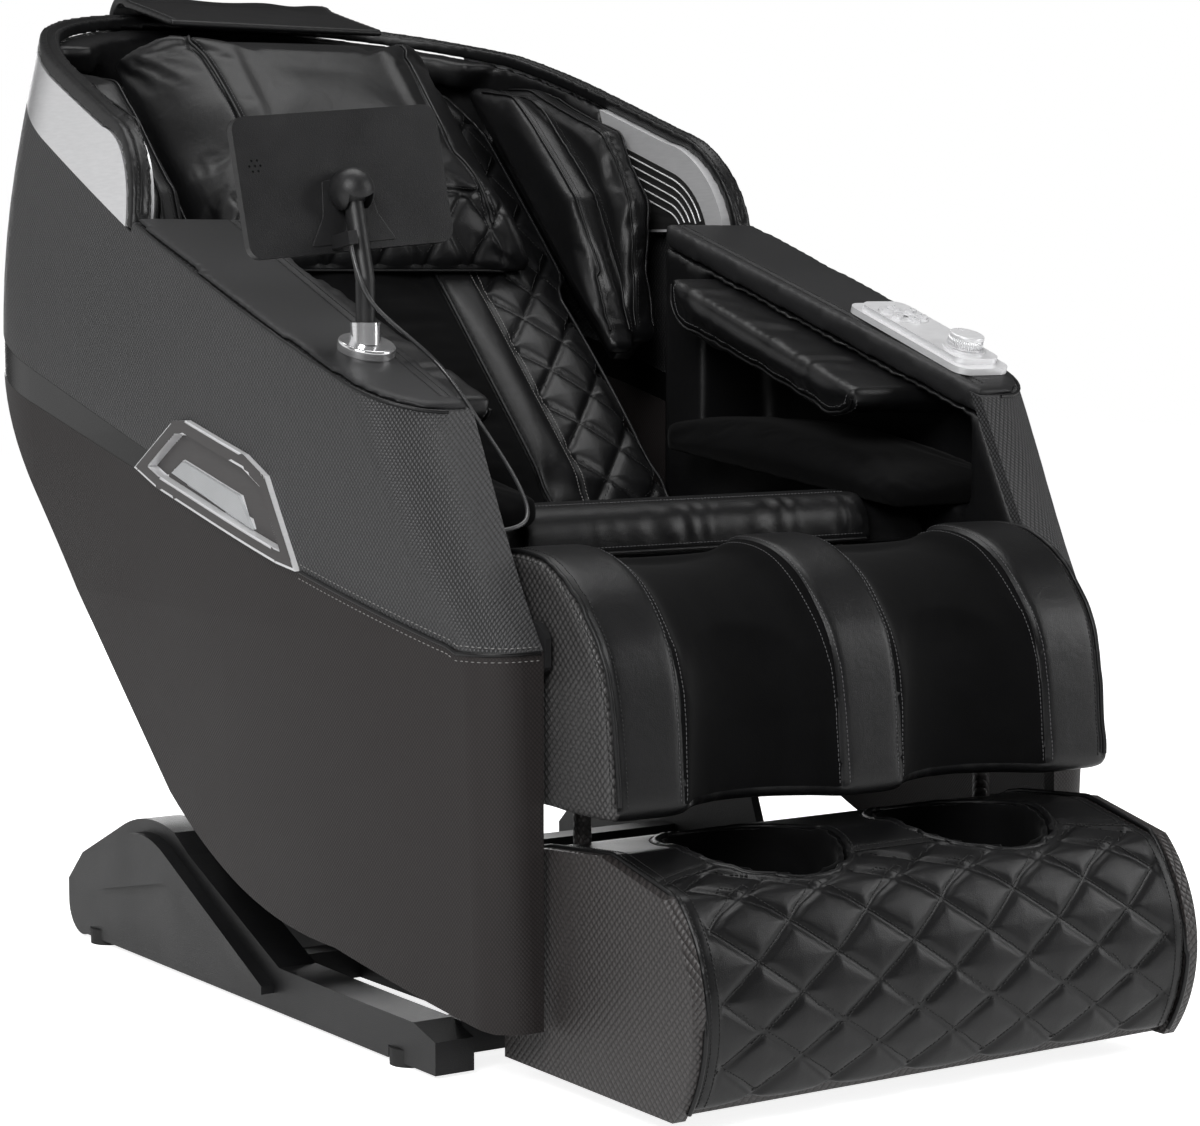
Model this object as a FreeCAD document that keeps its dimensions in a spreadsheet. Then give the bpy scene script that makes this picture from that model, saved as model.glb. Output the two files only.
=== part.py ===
import FreeCAD, Part
import math
import os
import Sketcher

# Reclining massage chair, built round one cabin that tilts on a sliding carriage.
# Millimetres. +Z is up, the sitter looks along -Y, and +X is at the sitter's left hand.
# The origin lies on the floor, on the chair's plane of symmetry, near the middle of its length.

V = FreeCAD.Vector
doc = FreeCAD.newDocument("massage_chair")
sheet = doc.addObject("Spreadsheet::Sheet", "Sizes")

SIZES = {
    # Outside of the cabin shell
    "shell_wall": 14,
    "sill_half_width": 374,
    "belt_half_width": 388,
    "belt_height": 387,
    "shoulder_half_width": 388,
    "shoulder_height": 640,
    "wing_half_width": 378,
    "wing_height": 760,
    "cheek_half_width": 354,
    "cheek_height": 880,
    "crown_half_width": 304,
    "crown_height": 1030,
    "front_reach": 464,
    "front_slope": 29,
    "least_reach": 200,
    "nose_setback": 76,
    "nose_radius_low": 40,
    "nose_radius_high": 66,
    "flank_front": 60,
    "rear_reach": 670,
    "rear_lean": 0.046,
    "rear_corner": 300,
    "rear_corner_crown": 255,
    "sill_height": 59,
    "seam_slope": 13.2,
    "seam_rear_height": 620,
    "under_slope": 43.4,
    "shell_rear": 560,
    "strip_rear_height": 42,
    "strip_front_height": 25,
    "part_gap": 0.3,
    # Arms
    "arm_tip_reach": 350,
    "arm_tip_height": 593,
    "arm_slope": 19.2,
    "arm_inner_front": 290,
    "arm_inner_rear": 255,
    "arm_rear": 136,
    "arm_pad_thickness": 26,
    "arm_pad_lip": 6,
    "arm_floor": 388.3,
    "pocket_front": 335,
    "pocket_rear": 70,
    "pocket_outer": 352,
    "pocket_front_floor": 478,
    "pocket_rear_floor": 520,
    "pocket_roof": 6,
    "airbag_thickness": 50,
    "airbag_front": 255,
    "airbag_rear": 59,
    "airbag_inner": 208,
    "forearm_pad_thickness": 44,
    "forearm_pad_inner": 200,
    # Hood
    "wing_front": 138,
    "rim_knee_reach": 232,
    "rim_knee_height": 866,
    "rim_back_reach": 504,
    "rim_back_height": 965,
    "rim_rear_height": 1012,
    "wing_seam_height": 746,
    "wing_seam_slope": 22.2,
    "trim_width": 22,
    "trim_height": 14,
    "liner_thickness": 42,
    "soft_inset": 24,
    "speaker_rear": 356,
    "speaker_plate": 16,
    # Back
    "back_foot_reach": 85,
    "back_foot_height": 460,
    "back_lean": 45,
    "back_length": 668,
    "back_pad_thickness": 48,
    "back_waist_half_width": 246,
    "back_shoulder_half_width": 276,
    "back_waist_length": 340,
    "back_corner_ease": 60,
    "back_centre_half_width": 84,
    "back_band_half_width": 134,
    "beam_inner": 205,
    "beam_width": 24,
    "beam_depth": 112,
    "rail_centre": 166,
    "rail_width": 26,
    "rail_depth": 30,
    "rail_top": 62,
    "rail_length": 600,
    "under_cover_depth": 172,
    "under_cover_wall": 6,
    "pillow_half_width": 200,
    "pillow_foot": 345,
    "pillow_head": 666,
    "pillow_thickness": 74,
    "flap_thickness": 8,
    "leaf_inner": 248,
    "leaf_outer": 318,
    "leaf_thickness": 33,
    "under_cover_foot": 92,
    "under_cover_head": 636,
    "head_flap_half_width": 136,
    "rack_module": 3,
    "rack_addendum": 2,
    "rack_dedendum": 3,
    "rack_backlash": 0.6,
    "pinion_teeth": 12,
    "pinion_shaft_radius": 5,
    "massage_park": 150,
    "running_play": 0.4,
    "roller_axle_radius": 4,
    "roller_radius": 13,
    # Seat
    "seat_half_width": 248,
    "seat_flare": 32,
    "seat_flap_half_width": 198,
    "pivot_play": 0.4,
    "seat_front": 290,
    "seat_rear": 64,
    "seat_pan_height": 388,
    "seat_pan_thickness": 12,
    "seat_crest": 492,
    "seat_bowl": 442,
    "side_plate_outer": 289.5,
    "side_plate_thickness": 6,
    # Leg rest
    "leg_half_width": 280,
    "leg_pivot_reach": 440,
    "leg_pivot_height": 385,
    "pivot_radius": 10,
    "calf_rear": 345,
    "calf_floor": 248,
    "calf_face": 553,
    "calf_crest": 462,
    "calf_band_inner": 194,
    "calf_middle_half_width": 40,
    "calf_side_skin": 12,
    "calf_trough_radius": 100,
    "calf_trough_depth": 45,
    "rod_centre": 228,
    "rod_reach": 430,
    "rod_radius": 8,
    "sleeve_wall": 3,
    "sleeve_play": 0.3,
    "calf_cheek": 6,
    "calf_cheek_front": 458,
    "calf_cheek_rear": 361,
    "calf_cheek_foot": 262,
    "calf_cheek_head": 421,
    "calf_bar_front": 450,
    "calf_bar_depth": 40,
    "calf_bar_height": 20,
    "calf_bar_upper": 352,
    "sleeve_length": 108,
    # Foot unit
    "foot_floor": 17,
    "foot_rear": 385,
    "foot_toe": 645,
    "foot_bulge": 668,
    "foot_brow": 626,
    "foot_brow_height": 199,
    "foot_top_height": 221,
    "foot_cover_thickness": 16,
    "foot_cover_half_width": 267,
    "foot_hole_centre": 117,
    "foot_hole_half_width": 78,
    "foot_hole_reach": 528,
    "foot_hole_half_length": 84,
    "foot_liner_wall": 6,
    "foot_sole_height": 76,
    "foot_roller_radius": 20,
    "foot_roller_height": 48,
    "foot_roller_length": 96,
    "foot_roller_span": 500,
    "roller_shaft_radius": 6,
    # Base
    "skid_inner": 295,
    "skid_width": 54,
    "base_rear": 405,
    "base_front": 358,
    "foot_pad_radius": 20,
    "foot_pad_height": 16,
    "foot_pad_inset": 24,
    "foot_pad_front": 290,
    "foot_pad_rear": 338,
    "frame_front": 340,
    "frame_rear": 400,
    "cross_front": 338,
    "cross_middle": 15,
    "cross_rear": 362,
    "slide_rail_reach": 300,
    "frame_tube": 40,
    "frame_bar": 30,
    "frame_height": 14,
    "slide_rail_width": 12,
    "slide_rail_height": 16,
    "power_box_height": 60,
    "rocker_width": 23.4,
    "upright_outer": 278,
    "upright_thickness": 10,
    "frame_rail_centre": 200,
    "carriage_travel": 100,
    "tilt_pivot_reach": 60,
    "tilt_pivot_height": 230,
    "tilt_pin_radius": 12,
    # Screen, its post and the control panel
    "post_x": 325,
    "post_reach": 226,
    "post_radius": 8.8,
    "flange_radius": 26.5,
    "flange_height": 9,
    "post_knee_height": 700,
    "ball_x": 325,
    "ball_reach": 203,
    "ball_height": 780,
    "ball_radius": 15,
    "dome_radius": 21,
    "screen_width": 211,
    "screen_height": 127,
    "screen_thickness": 9,
    "screen_roll": 5,
    "screen_tilt": 8,
    "screen_rise": 11,
    "screen_back": 10,
    "panel_x": 330,
    "panel_reach": 222,
    "panel_length": 194,
    "panel_width": 68,
    "panel_base": 7,
    "panel_tier": 6,
    "knob_radius": 17.5,
    "knob_height": 14,
    "knob_offset": 56,
    "knob_stud_radius": 4,
    "ring_offset": 44,
    "ring_radius": 26,
    "cable_radius": 2,
}
for row, (alias, number) in enumerate(SIZES.items(), 1):
    sheet.set(f"A{row}", alias)
    sheet.set(f"B{row}", str(number))
    sheet.setAlias(f"B{row}", alias)
doc.recompute()


def mm(formula):
    """Value of a formula over the sheet's aliases, in millimetres or degrees."""
    return float(sheet.evalExpression(formula))


size = {alias: mm(f"Sizes.{alias}") for alias in SIZES}
GAP = size["part_gap"]
FAR = 1200.0
written = []


def yz(x=0.0):
    """Maps a side-view pair (y, z) into space at this x."""
    return lambda a, b: V(x, a, b)


def xy(z=0.0):
    """Maps a plan-view pair (x, y) into space at this height."""
    return lambda a, b: V(a, b, z)


def xz(y=0.0):
    """Maps a front-view pair (x, z) into space at this y."""
    return lambda a, b: V(a, y, b)


def outline(path, place):
    """Closed wire. A pair is the end of a straight run; a pair of pairs is an arc's middle and end."""
    start = here = place(*path[0])
    edges = []
    for step in path[1:]:
        if isinstance(step[0], tuple):
            middle, end = place(*step[0]), place(*step[1])
            edges.append(Part.Arc(here, middle, end).toShape())
        else:
            end = place(*step)
            edges.append(Part.LineSegment(here, end).toShape())
        here = end
    if here.distanceToPoint(start) > 1e-6:
        edges.append(Part.LineSegment(here, start).toShape())
    return Part.Wire(edges)


def prism(path, place, run):
    return Part.Face(outline(path, place)).extrude(run)


def side_prism(path, x_low, x_high):
    return prism(path, yz(x_low), V(x_high - x_low, 0, 0))


def mirrored(shape):
    return shape.mirror(V(0, 0, 0), V(1, 0, 0))


def add(label, shape, placement=None):
    """A sub-part whose shape is worked out here; its placement comes after its shape."""
    node = doc.addObject("Part::Feature", label)
    node.Label = label
    node.Shape = shape
    node.Placement = placement or FreeCAD.Placement()
    written.append(node)
    return node


def add_pair(name, shape, placement=None):
    """The left-hand piece and its mirror image on the right."""
    add(f"{name}_left", shape, placement)
    add(f"{name}_right", mirrored(shape), placement)


def largest(shape):
    return max(shape.Solids, key=lambda solid: solid.Volume)


# Sketch-based sub-parts: every coordinate is bound to the sheet


def new_body(label):
    body = doc.addObject("PartDesign::Body", label)
    body.Label = label
    written.append(body)
    return body


def new_sketch(body, role, name):
    sketch = body.newObject("Sketcher::SketchObject", f"{body.Name}_{name}")
    plane = next(f for f in body.Origin.OriginFeatures if f.Role == role)
    sketch.AttachmentSupport = (plane, [""])
    sketch.MapMode = "FlatFace"
    return sketch


def draw_corners(sketch, corners):
    """Closed straight-sided profile; each corner is a pair of formulas."""
    points = [V(mm(u), mm(v), 0) for u, v in corners]
    first = sketch.GeometryCount
    count = len(points)
    for i, point in enumerate(points):
        sketch.addGeometry(Part.LineSegment(point, points[(i + 1) % count]), False)
    for i in range(count):
        following = first + (i + 1) % count
        sketch.addConstraint(Sketcher.Constraint("Coincident", first + i, 2, following, 1))
    for i, pair in enumerate(corners):
        for kind, formula in zip(("DistanceX", "DistanceY"), pair):
            datum = Sketcher.Constraint(kind, -1, 1, first + i, 1, mm(formula))
            index = sketch.addConstraint(datum)
            name = f"{kind}_{first + i}"
            sketch.renameConstraint(index, name)
            sketch.setExpression(f"Constraints.{name}", formula)
    return sketch


def raise_pad(body, sketch, length):
    pad = body.newObject("PartDesign::Pad", f"{body.Name}_pad")
    pad.Profile = sketch
    pad.setExpression("Length", length)
    return pad


def set_place(obj, x="0", y="0", z="0"):
    """Binds the placement's three coordinates to formulas."""
    for letter, formula in zip("xyz", (x, y, z)):
        obj.setExpression(f"Placement.Base.{letter}", formula)


def plate(label, role, corners, length, place=("0", "0", "0")):
    """Straight-sided piece: a profile drawn on one origin plane and padded by a bound length."""
    body = new_body(label)
    raise_pad(body, draw_corners(new_sketch(body, role, "outline"), corners), length)
    set_place(body, *place)
    return body


def bound(kind, name, place=("0", "0", "0"), turn=None, **sizes):
    """Part primitive whose sizes and position are formulas over the sheet."""
    solid = doc.addObject(f"Part::{kind}", name)
    if turn:
        solid.Placement = FreeCAD.Placement(V(0, 0, 0), FreeCAD.Rotation(*turn))
    for key, formula in sizes.items():
        solid.setExpression(key, formula)
    set_place(solid, *place)
    return solid


def reflected(source):
    """The same solid on the other side of the plane of symmetry."""
    twin = doc.addObject("Part::Mirroring", f"{source.Name}_twin")
    twin.Source = source
    twin.Normal = V(1, 0, 0)
    return twin


def joined(name, *solids):
    made = doc.addObject("Part::MultiFuse", name)
    made.Shapes = list(solids)
    made.Refine = True
    return made


def drilled(name, base, tool):
    made = doc.addObject("Part::Cut", name)
    made.Base, made.Tool = base, tool
    made.Refine = True
    return made


def deliver(label, made):
    """Names a parametric object as a finished sub-part."""
    made.Label = label
    written.append(made)


ALONG_X = (V(0, 1, 0), 90)

# The cabin's outside: half outlines at six heights, nose at the front and a round corner behind

rise = math.tan(math.radians(size["front_slope"]))
LEVELS = (
    ("sill", 0.0, "nose_radius_low", "rear_corner"),
    ("belt", size["belt_height"], "nose_radius_low", "rear_corner"),
    ("shoulder", size["shoulder_height"], "nose_radius_high", "rear_corner"),
    ("wing", size["wing_height"], "nose_radius_high", "rear_corner"),
    ("cheek", size["cheek_height"], "nose_radius_high", "rear_corner"),
    ("crown", size["crown_height"], "nose_radius_high", "rear_corner_crown"),
)


def front_at(height):
    """How far forward of the origin the arm's nose reaches at this height."""
    reach = size["front_reach"] - max(0.0, height - size["belt_height"]) * rise
    return max(size["least_reach"], reach)


def rear_path(level, inset):
    """Rear edge, rear corner and the point where the straight flank begins."""
    name, height, nose, corner = level
    half_width = size[f"{name}_half_width"] - inset
    rear = size["rear_reach"] + max(0.0, height - size["shoulder_height"]) * size["rear_lean"] - inset
    radius = size[corner] - inset
    corner_x, corner_y = half_width - radius, rear - radius
    bend = math.sqrt(0.5) * radius
    return half_width, [
        (0.0, rear),
        (corner_x, rear),
        ((corner_x + bend, corner_y + bend), (half_width, corner_y)),
    ]


def arm_outline(level, inset):
    """Half outline that runs forward to the arm's rounded nose."""
    name, height, nose, corner = level
    half_width, path = rear_path(level, inset)
    nose_radius = size[nose] - inset
    nose_x = size[f"{name}_half_width"] - size["nose_setback"]
    nose_y = nose_radius + inset - front_at(height)
    flank_y = -size["flank_front"]
    # One large arc leaves the flank and runs tangent into the nose's own arc
    across = nose_x - half_width
    along = nose_y - flank_y
    sweep_radius = (nose_radius**2 - across**2 - along**2) / (2 * (across + nose_radius))
    hub_x = half_width - sweep_radius
    lean = math.atan2(flank_y - nose_y, nose_x - hub_x)

    def sweep(angle):
        return hub_x + sweep_radius * math.cos(angle), flank_y - sweep_radius * math.sin(angle)

    def nose_at(angle):
        return nose_x + nose_radius * math.cos(angle), nose_y - nose_radius * math.sin(angle)

    path += [
        (half_width, flank_y),
        (sweep(lean / 2), sweep(lean)),
        (nose_at((lean + math.pi / 2) / 2), nose_at(math.pi / 2)),
        (0.0, nose_y - nose_radius),
    ]
    return outline(path, xy(height))


def hood_outline(level, inset):
    """Half outline that stops at the front of the hood."""
    half_width, path = rear_path(level, inset)
    path += [(half_width, 0.0), (0.0, 0.0)]
    return outline(path, xy(level[1]))


def arm_hull(inset):
    lower = Part.makeLoft([arm_outline(level, inset) for level in LEVELS[:2]], True, True)
    upper = Part.makeLoft([arm_outline(level, inset) for level in LEVELS[1:]], True, False)
    return lower.fuse(upper)


def hood_hull(inset):
    return Part.makeLoft([hood_outline(level, inset) for level in LEVELS[1:]], True, False)


def arm_top(y, drop=0.0):
    """Height of the sloping arm top at this y, less a drop."""
    slope = math.tan(math.radians(size["arm_slope"]))
    return size["arm_tip_height"] + (y + size["arm_tip_reach"]) * slope - drop


def seam_at(y):
    """Height of the seam between the upper and lower side panels; it runs level at the front."""
    slope = math.tan(math.radians(size["seam_slope"]))
    return max(size["belt_height"], size["seam_rear_height"] - (size["shell_rear"] - y) * slope)


def wing_seam_at(y):
    slope = math.tan(math.radians(size["wing_seam_slope"]))
    return size["wing_seam_height"] + (y - size["wing_front"]) * slope


def rim_path(inward=0.0):
    """Side view of the hood's rim, from its foot on the arm to the rear; inward lowers it."""
    front = size["wing_front"] + inward
    foot = wing_seam_at(front) + GAP
    knee = (size["rim_knee_reach"] + inward * 0.6, size["rim_knee_height"] - inward * 0.9)
    middle = (front + (knee[0] - front) * 0.3, foot + (knee[1] - foot) * 0.66)
    back = (size["rim_back_reach"] + inward * 0.3, size["rim_back_height"] - inward)
    rear = (size["rear_reach"] + 30, size["rim_rear_height"] - inward)
    return [(front, foot), (middle, knee), back, rear]


def under_rim(inward, floor):
    """Side-view region under the rim, down to a floor of two corner points."""
    return rim_path(inward) + list(floor)


# Side panels: one curved wall, parted by the seam, the gloss strip and the ornament's bed

wall = size["shell_wall"]
outer_hull = arm_hull(0.0)
inner_hull = arm_hull(wall)
shell_wall = outer_hull.cut(inner_hull)
front, rear = -size["front_reach"] - 20, size["shell_rear"]
seam_bend = size["shell_rear"] - (size["seam_rear_height"] - size["belt_height"]) / math.tan(
    math.radians(size["seam_slope"])
)
flank_slope = math.tan(math.radians(size["under_slope"]))
edge_y, edge_z = 64.0, 204.0


def under_edge_at(y):
    """Height of the side panel's lower edge where it climbs towards the rear."""
    return edge_z + (y - edge_y) * flank_slope


seam_rise = math.tan(math.radians(size["seam_slope"]))
meet_y = (size["seam_rear_height"] - rear * seam_rise - edge_z + edge_y * flank_slope) / (flank_slope - seam_rise)
lower_edge = [
    (front, size["sill_height"]),
    (-450.0, size["sill_height"]),
    (-240.0, 102.0),
    ((-80.0, 131.0), (edge_y, edge_z)),
    (meet_y, under_edge_at(meet_y)),
]
below_path = [(edge_y, edge_z), (rear + 50, under_edge_at(rear + 50)), (rear + 50, 0.0), (edge_y, 0.0)]
below_edge = side_prism(below_path, 0, FAR)
ORNAMENT = ((109, 518), (22, 567), (-5, 568), (-120, 541), (-157, 523), (-205, 440), (-173, 445), (62, 501))
LENS = ((40, 516), (16, 528), (-95, 502), (-121, 472))


def grow(points, amount):
    """The same closed outline moved outwards by an amount, mitred at its corners."""
    face = Part.Face(outline(list(points), yz(0)))
    wire = face.makeOffset2D(amount, 2).OuterWire
    return Part.Face(wire)


def ornament_prism(points, amount):
    face = grow(points, amount) if amount else Part.Face(outline(list(points), yz(0)))
    return face.extrude(V(FAR, 0, 0))


strip_front = ORNAMENT[0][0] - 30
strip_top_rear = seam_at(rear) + size["strip_rear_height"]
strip_top_front = seam_at(strip_front) + size["strip_front_height"]
near = size["arm_inner_front"]
beyond_inner = prism([(near, -FAR), (FAR, -FAR), (FAR, FAR), (200.0, FAR), (200.0, 100.0), (near, 100.0)], xy(0), V(0, 0, FAR))
rear_clip = prism([(0.0, -FAR), (FAR, -FAR), (FAR, rear), (0.0, rear)], xy(0), V(0, 0, FAR))
flank_wall = shell_wall.common(beyond_inner).common(rear_clip)
bed = ornament_prism(ORNAMENT, GAP)
lower_region = lower_edge + [(seam_bend, seam_at(seam_bend)), (front, seam_at(front))]
upper_region = [
    (front, seam_at(front) + GAP),
    (seam_bend, seam_at(seam_bend) + GAP),
    (strip_front, seam_at(strip_front) + GAP),
    (strip_front, strip_top_front + GAP),
    (rear, strip_top_rear + GAP),
    (rear, wing_seam_at(rear)),
    (size["wing_front"], wing_seam_at(size["wing_front"])),
    (size["arm_rear"], arm_top(size["arm_rear"], size["arm_pad_lip"] + GAP)),
    (front, arm_top(front, size["arm_pad_lip"] + GAP)),
]
strip_region = [
    (strip_front, seam_at(strip_front) + GAP),
    (rear, seam_at(rear) + GAP),
    (rear, strip_top_rear),
    (strip_front, strip_top_front),
]
for name, region in (("side_panel_lower", lower_region), ("side_panel_upper", upper_region), ("gloss_strip", strip_region)):
    panel = flank_wall.common(side_prism(region, 0, FAR)).cut(bed)
    if name != "side_panel_lower":
        panel = panel.cut(below_edge)
    add_pair(name, largest(panel))

# Ornament: a bright bezel round a stepped bed, with a pale lens set into it
ring = ornament_prism(ORNAMENT, 0).cut(ornament_prism(ORNAMENT, -13))
proud = arm_hull(-5.0)
bezel = proud.cut(arm_hull(8.0)).common(ring)
bed_plate = arm_hull(4.0).cut(arm_hull(12.0)).common(ornament_prism(ORNAMENT, 0).cut(ornament_prism(LENS, GAP)))
bezel = bezel.fuse(bed_plate).removeSplitter()
add_pair("ornament_frame", bezel)
add_pair("ornament_lens", arm_hull(1.0).cut(arm_hull(9.0)).common(ornament_prism(LENS, 0)))

# Arms: padded top, upholstered box with the forearm pocket, and the two pads inside it


def arm_side(inner_offset=0.0):
    """Plan region outward of the arm's inner face, which closes in a little towards the back."""
    near = size["arm_inner_front"] + inner_offset
    far = size["arm_inner_rear"] + inner_offset
    path = [(near, -FAR), (near, -size["arm_tip_reach"]), (far, size["arm_rear"]), (FAR, size["arm_rear"]), (FAR, -FAR)]
    return prism(path, xy(0), V(0, 0, FAR))


def arm_slab(top, bottom):
    """Slab parallel to the arm's top, between two drops below it."""
    low, high = -FAR / 2, size["arm_rear"]
    path = [(low, arm_top(low, top)), (high, arm_top(high, top)), (high, arm_top(high, bottom)), (low, arm_top(low, bottom))]
    return side_prism(path, 0, FAR)


lip = size["arm_pad_lip"]
pad_floor = size["arm_pad_thickness"]
inside_wall = arm_hull(wall + GAP)
arm_pad = outer_hull.common(arm_slab(0.0, lip)).common(arm_side())
arm_pad = arm_pad.fuse(inside_wall.common(arm_slab(lip, pad_floor)).common(arm_side())).removeSplitter()
add_pair("arm_pad", arm_pad)

box_top = pad_floor + GAP
box_region = [
    (front, size["arm_floor"]),
    (size["arm_rear"], size["arm_floor"]),
    (size["arm_rear"], arm_top(size["arm_rear"], box_top)),
    (front, arm_top(front, box_top)),
]
roof = box_top + size["pocket_roof"]
pocket_path = [
    (-size["pocket_front"], size["pocket_front_floor"]),
    (size["pocket_rear"], size["pocket_rear_floor"]),
    (size["pocket_rear"], arm_top(size["pocket_rear"], roof)),
    (-size["pocket_front"], arm_top(-size["pocket_front"], roof)),
]
arm_box = inside_wall.common(side_prism(box_region, 0, FAR)).common(arm_side())
arm_box = arm_box.cut(side_prism(pocket_path, 0, size["pocket_outer"]))
add_pair("arm_box", arm_box)


def crowned(side_path, x_low, x_high, edge=12.0):
    """Upholstered block: a side profile between two x planes, its long edges rounded over."""
    block = side_prism(side_path, x_low, x_high)
    rims = [e for e in block.Edges if abs(e.BoundBox.XLength) < 1e-6]
    return block.makeFillet(edge, rims)


bag = size["airbag_thickness"]
bag_front, bag_rear = -size["airbag_front"], size["airbag_rear"]
bag_roof = roof + GAP
bag_path = [
    (bag_front, arm_top(bag_front, bag_roof)),
    (bag_rear, arm_top(bag_rear, bag_roof)),
    (bag_rear + 2, arm_top(bag_rear, bag_roof + bag * 0.6)),
    ((bag_rear - 10, arm_top(bag_rear, bag_roof + bag * 0.95)), (bag_rear - 40, arm_top(bag_rear - 40, bag_roof + bag))),
    (bag_front + 50, arm_top(bag_front + 50, bag_roof + bag * 0.9)),
    ((bag_front + 15, arm_top(bag_front + 15, bag_roof + bag * 0.6)), (bag_front, arm_top(bag_front, bag_roof + 14))),
]
add_pair("arm_airbag", crowned(bag_path, size["airbag_inner"], size["pocket_outer"] - GAP, 6.0))


def pocket_floor(y, lift=0.0):
    span = size["pocket_rear"] + size["pocket_front"]
    share = (y + size["pocket_front"]) / span
    return size["pocket_front_floor"] + (size["pocket_rear_floor"] - size["pocket_front_floor"]) * share + lift


pad_rise = size["forearm_pad_thickness"]
pad_low, pad_high = -size["pocket_front"] + 12, size["pocket_rear"] - 12
pad_middle = (pad_low + pad_high) / 2
forearm_path = [
    (pad_low, pocket_floor(pad_low, GAP)),
    (pad_high, pocket_floor(pad_high, GAP)),
    (pad_high, pocket_floor(pad_high, pad_rise * 0.7)),
    ((pad_middle, pocket_floor(pad_middle, pad_rise)), (pad_low, pocket_floor(pad_low, pad_rise * 0.6))),
]
add_pair("forearm_pad", crowned(forearm_path, size["forearm_pad_inner"], size["pocket_outer"] - GAP, 9.0))

# Hood: bright wings outside, a frame behind them, a padded liner, speaker plates and a rim trim
trim_rise = size["trim_height"]
wing_region = under_rim(trim_rise + GAP, [(size["rear_reach"] + 30, 980.0), (rear, wing_seam_at(rear) + GAP)])
add_pair("wing_panel", largest(flank_wall.common(side_prism(wing_region, 0, FAR))))

low_foot, (low_middle, low_knee), low_back, low_rear = rim_path(trim_rise)
trim_path = rim_path(0.0) + [low_rear, low_back, low_knee, (low_middle, low_foot)]
trim = outer_hull.cut(hood_hull(size["trim_width"])).common(side_prism(trim_path, 0, FAR))
add("rim_trim", trim.fuse(mirrored(trim)).removeSplitter())

speaker_in = wall + GAP
speaker_region = under_rim(trim_rise + GAP, [(size["rear_reach"] + 30, 700.0), (size["wing_front"] + 18, 700.0)])
speaker_span = prism(
    [(0.0, size["wing_front"] + 16), (FAR, size["wing_front"] + 16), (FAR, size["speaker_rear"]), (0.0, size["speaker_rear"])],
    xy(size["wing_seam_height"] + 8),
    V(0, 0, FAR),
)
speaker = hood_hull(speaker_in).cut(hood_hull(speaker_in + size["speaker_plate"]))
add_pair("speaker_plate", speaker.common(side_prism(speaker_region, 0, FAR)).common(speaker_span))

liner_in = wall + GAP
frame_floor = 90.0
liner_span = prism(
    [(0.0, size["speaker_rear"] + GAP), (FAR, size["speaker_rear"] + GAP), (FAR, FAR), (0.0, FAR)],
    xy(0),
    V(0, 0, FAR),
)
liner_floor = [(size["rear_reach"] + 30, wing_seam_at(rear) - frame_floor), (size["speaker_rear"] - 10, 700.0)]
liner_region = under_rim(trim_rise + GAP, liner_floor)
liner = hood_hull(liner_in).cut(hood_hull(liner_in + size["liner_thickness"])).common(side_prism(liner_region, 0, FAR))
liner = liner.common(liner_span)
BACK = FreeCAD.Placement(
    V(0, size["back_foot_reach"], size["back_foot_height"]),
    FreeCAD.Rotation(V(1, 0, 0), size["back_lean"]),
)


def box(x_low, x_high, y_low, y_high, z_low, z_high):
    return Part.makeBox(x_high - x_low, y_high - y_low, z_high - z_low, V(x_low, y_low, z_low))


def in_back(shape):
    moved = shape.copy()
    moved.Placement = BACK
    return moved


back_wide = size["back_shoulder_half_width"] + GAP
leaf_wide = size["leaf_outer"] + GAP
bedded = in_back(box(-back_wide, back_wide, -20, size["back_length"] + GAP, -80, 3.4))
bedded = bedded.fuse(in_back(box(0, leaf_wide, 205, 650, -31, 140)))
lining_in = hood_hull(size["soft_inset"] - GAP)
liner = largest(liner.cut(bedded.common(lining_in)))
add("hood_liner", liner.fuse(mirrored(liner)).removeSplitter())

# Rear cover: gloss cap across the back between the two side panels
cap_region = [(rear + GAP, seam_at(rear)), (size["rear_reach"] + 30, seam_at(rear) + 25)]
cap_region += [(size["rear_reach"] + 30, rim_path(trim_rise + GAP)[-1][1]), (rear + GAP, rim_path(trim_rise + GAP)[2][1])]
cap = shell_wall.common(side_prism(cap_region, 0, FAR))
add("rear_cover", cap.fuse(mirrored(cap)).removeSplitter())

# Back: everything here is drawn in the back's own frame, x across, y up the back, z towards the sitter
soft_room = hood_hull(size["soft_inset"])
soft_room = soft_room.fuse(mirrored(soft_room))
thick = size["back_pad_thickness"]
centre, band = size["back_centre_half_width"], size["back_band_half_width"]
waist = size["back_waist_half_width"]


def pad_face(half_width):
    """Front view across the pad: soft centre, two raised bands and two broad quilted strips."""
    sink = 9.0
    stops = [-half_width, -band, -centre, centre, band, half_width]
    crowns = [-1.0, 3.0, -3.0, 3.0, -1.0]
    path = [(-half_width, -thick), (-half_width, -sink - 12)]
    for i, crown in enumerate(crowns):
        low, high = stops[i], stops[i + 1]
        end_z = -sink if i < 4 else -sink - 12
        if i == 0:
            path.append((((low + high) / 2 - 20, crown), (high, -sink)))
        elif i == 4:
            path.append((((low + high) / 2 + 20, crown), (high, end_z)))
        else:
            path.append((((low + high) / 2, crown), (high, end_z)))
    path.append((half_width, -thick))
    return path


def pad_side(low, fold, high, ease):
    """Side view of the pad: two full halves with a shallow fold between, drawn in at both ends."""
    return [
        (low, -thick),
        (high, -thick),
        (high, -ease),
        ((high - 8, -ease * 0.35), (high - 40, -2.0)),
        (((high + fold) / 2, 3.0), (fold, -5.0)),
        (((low + fold) / 2, 3.0), (low + 40, -2.0)),
        ((low + 8, -ease * 0.35), (low, -ease)),
    ]


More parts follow.
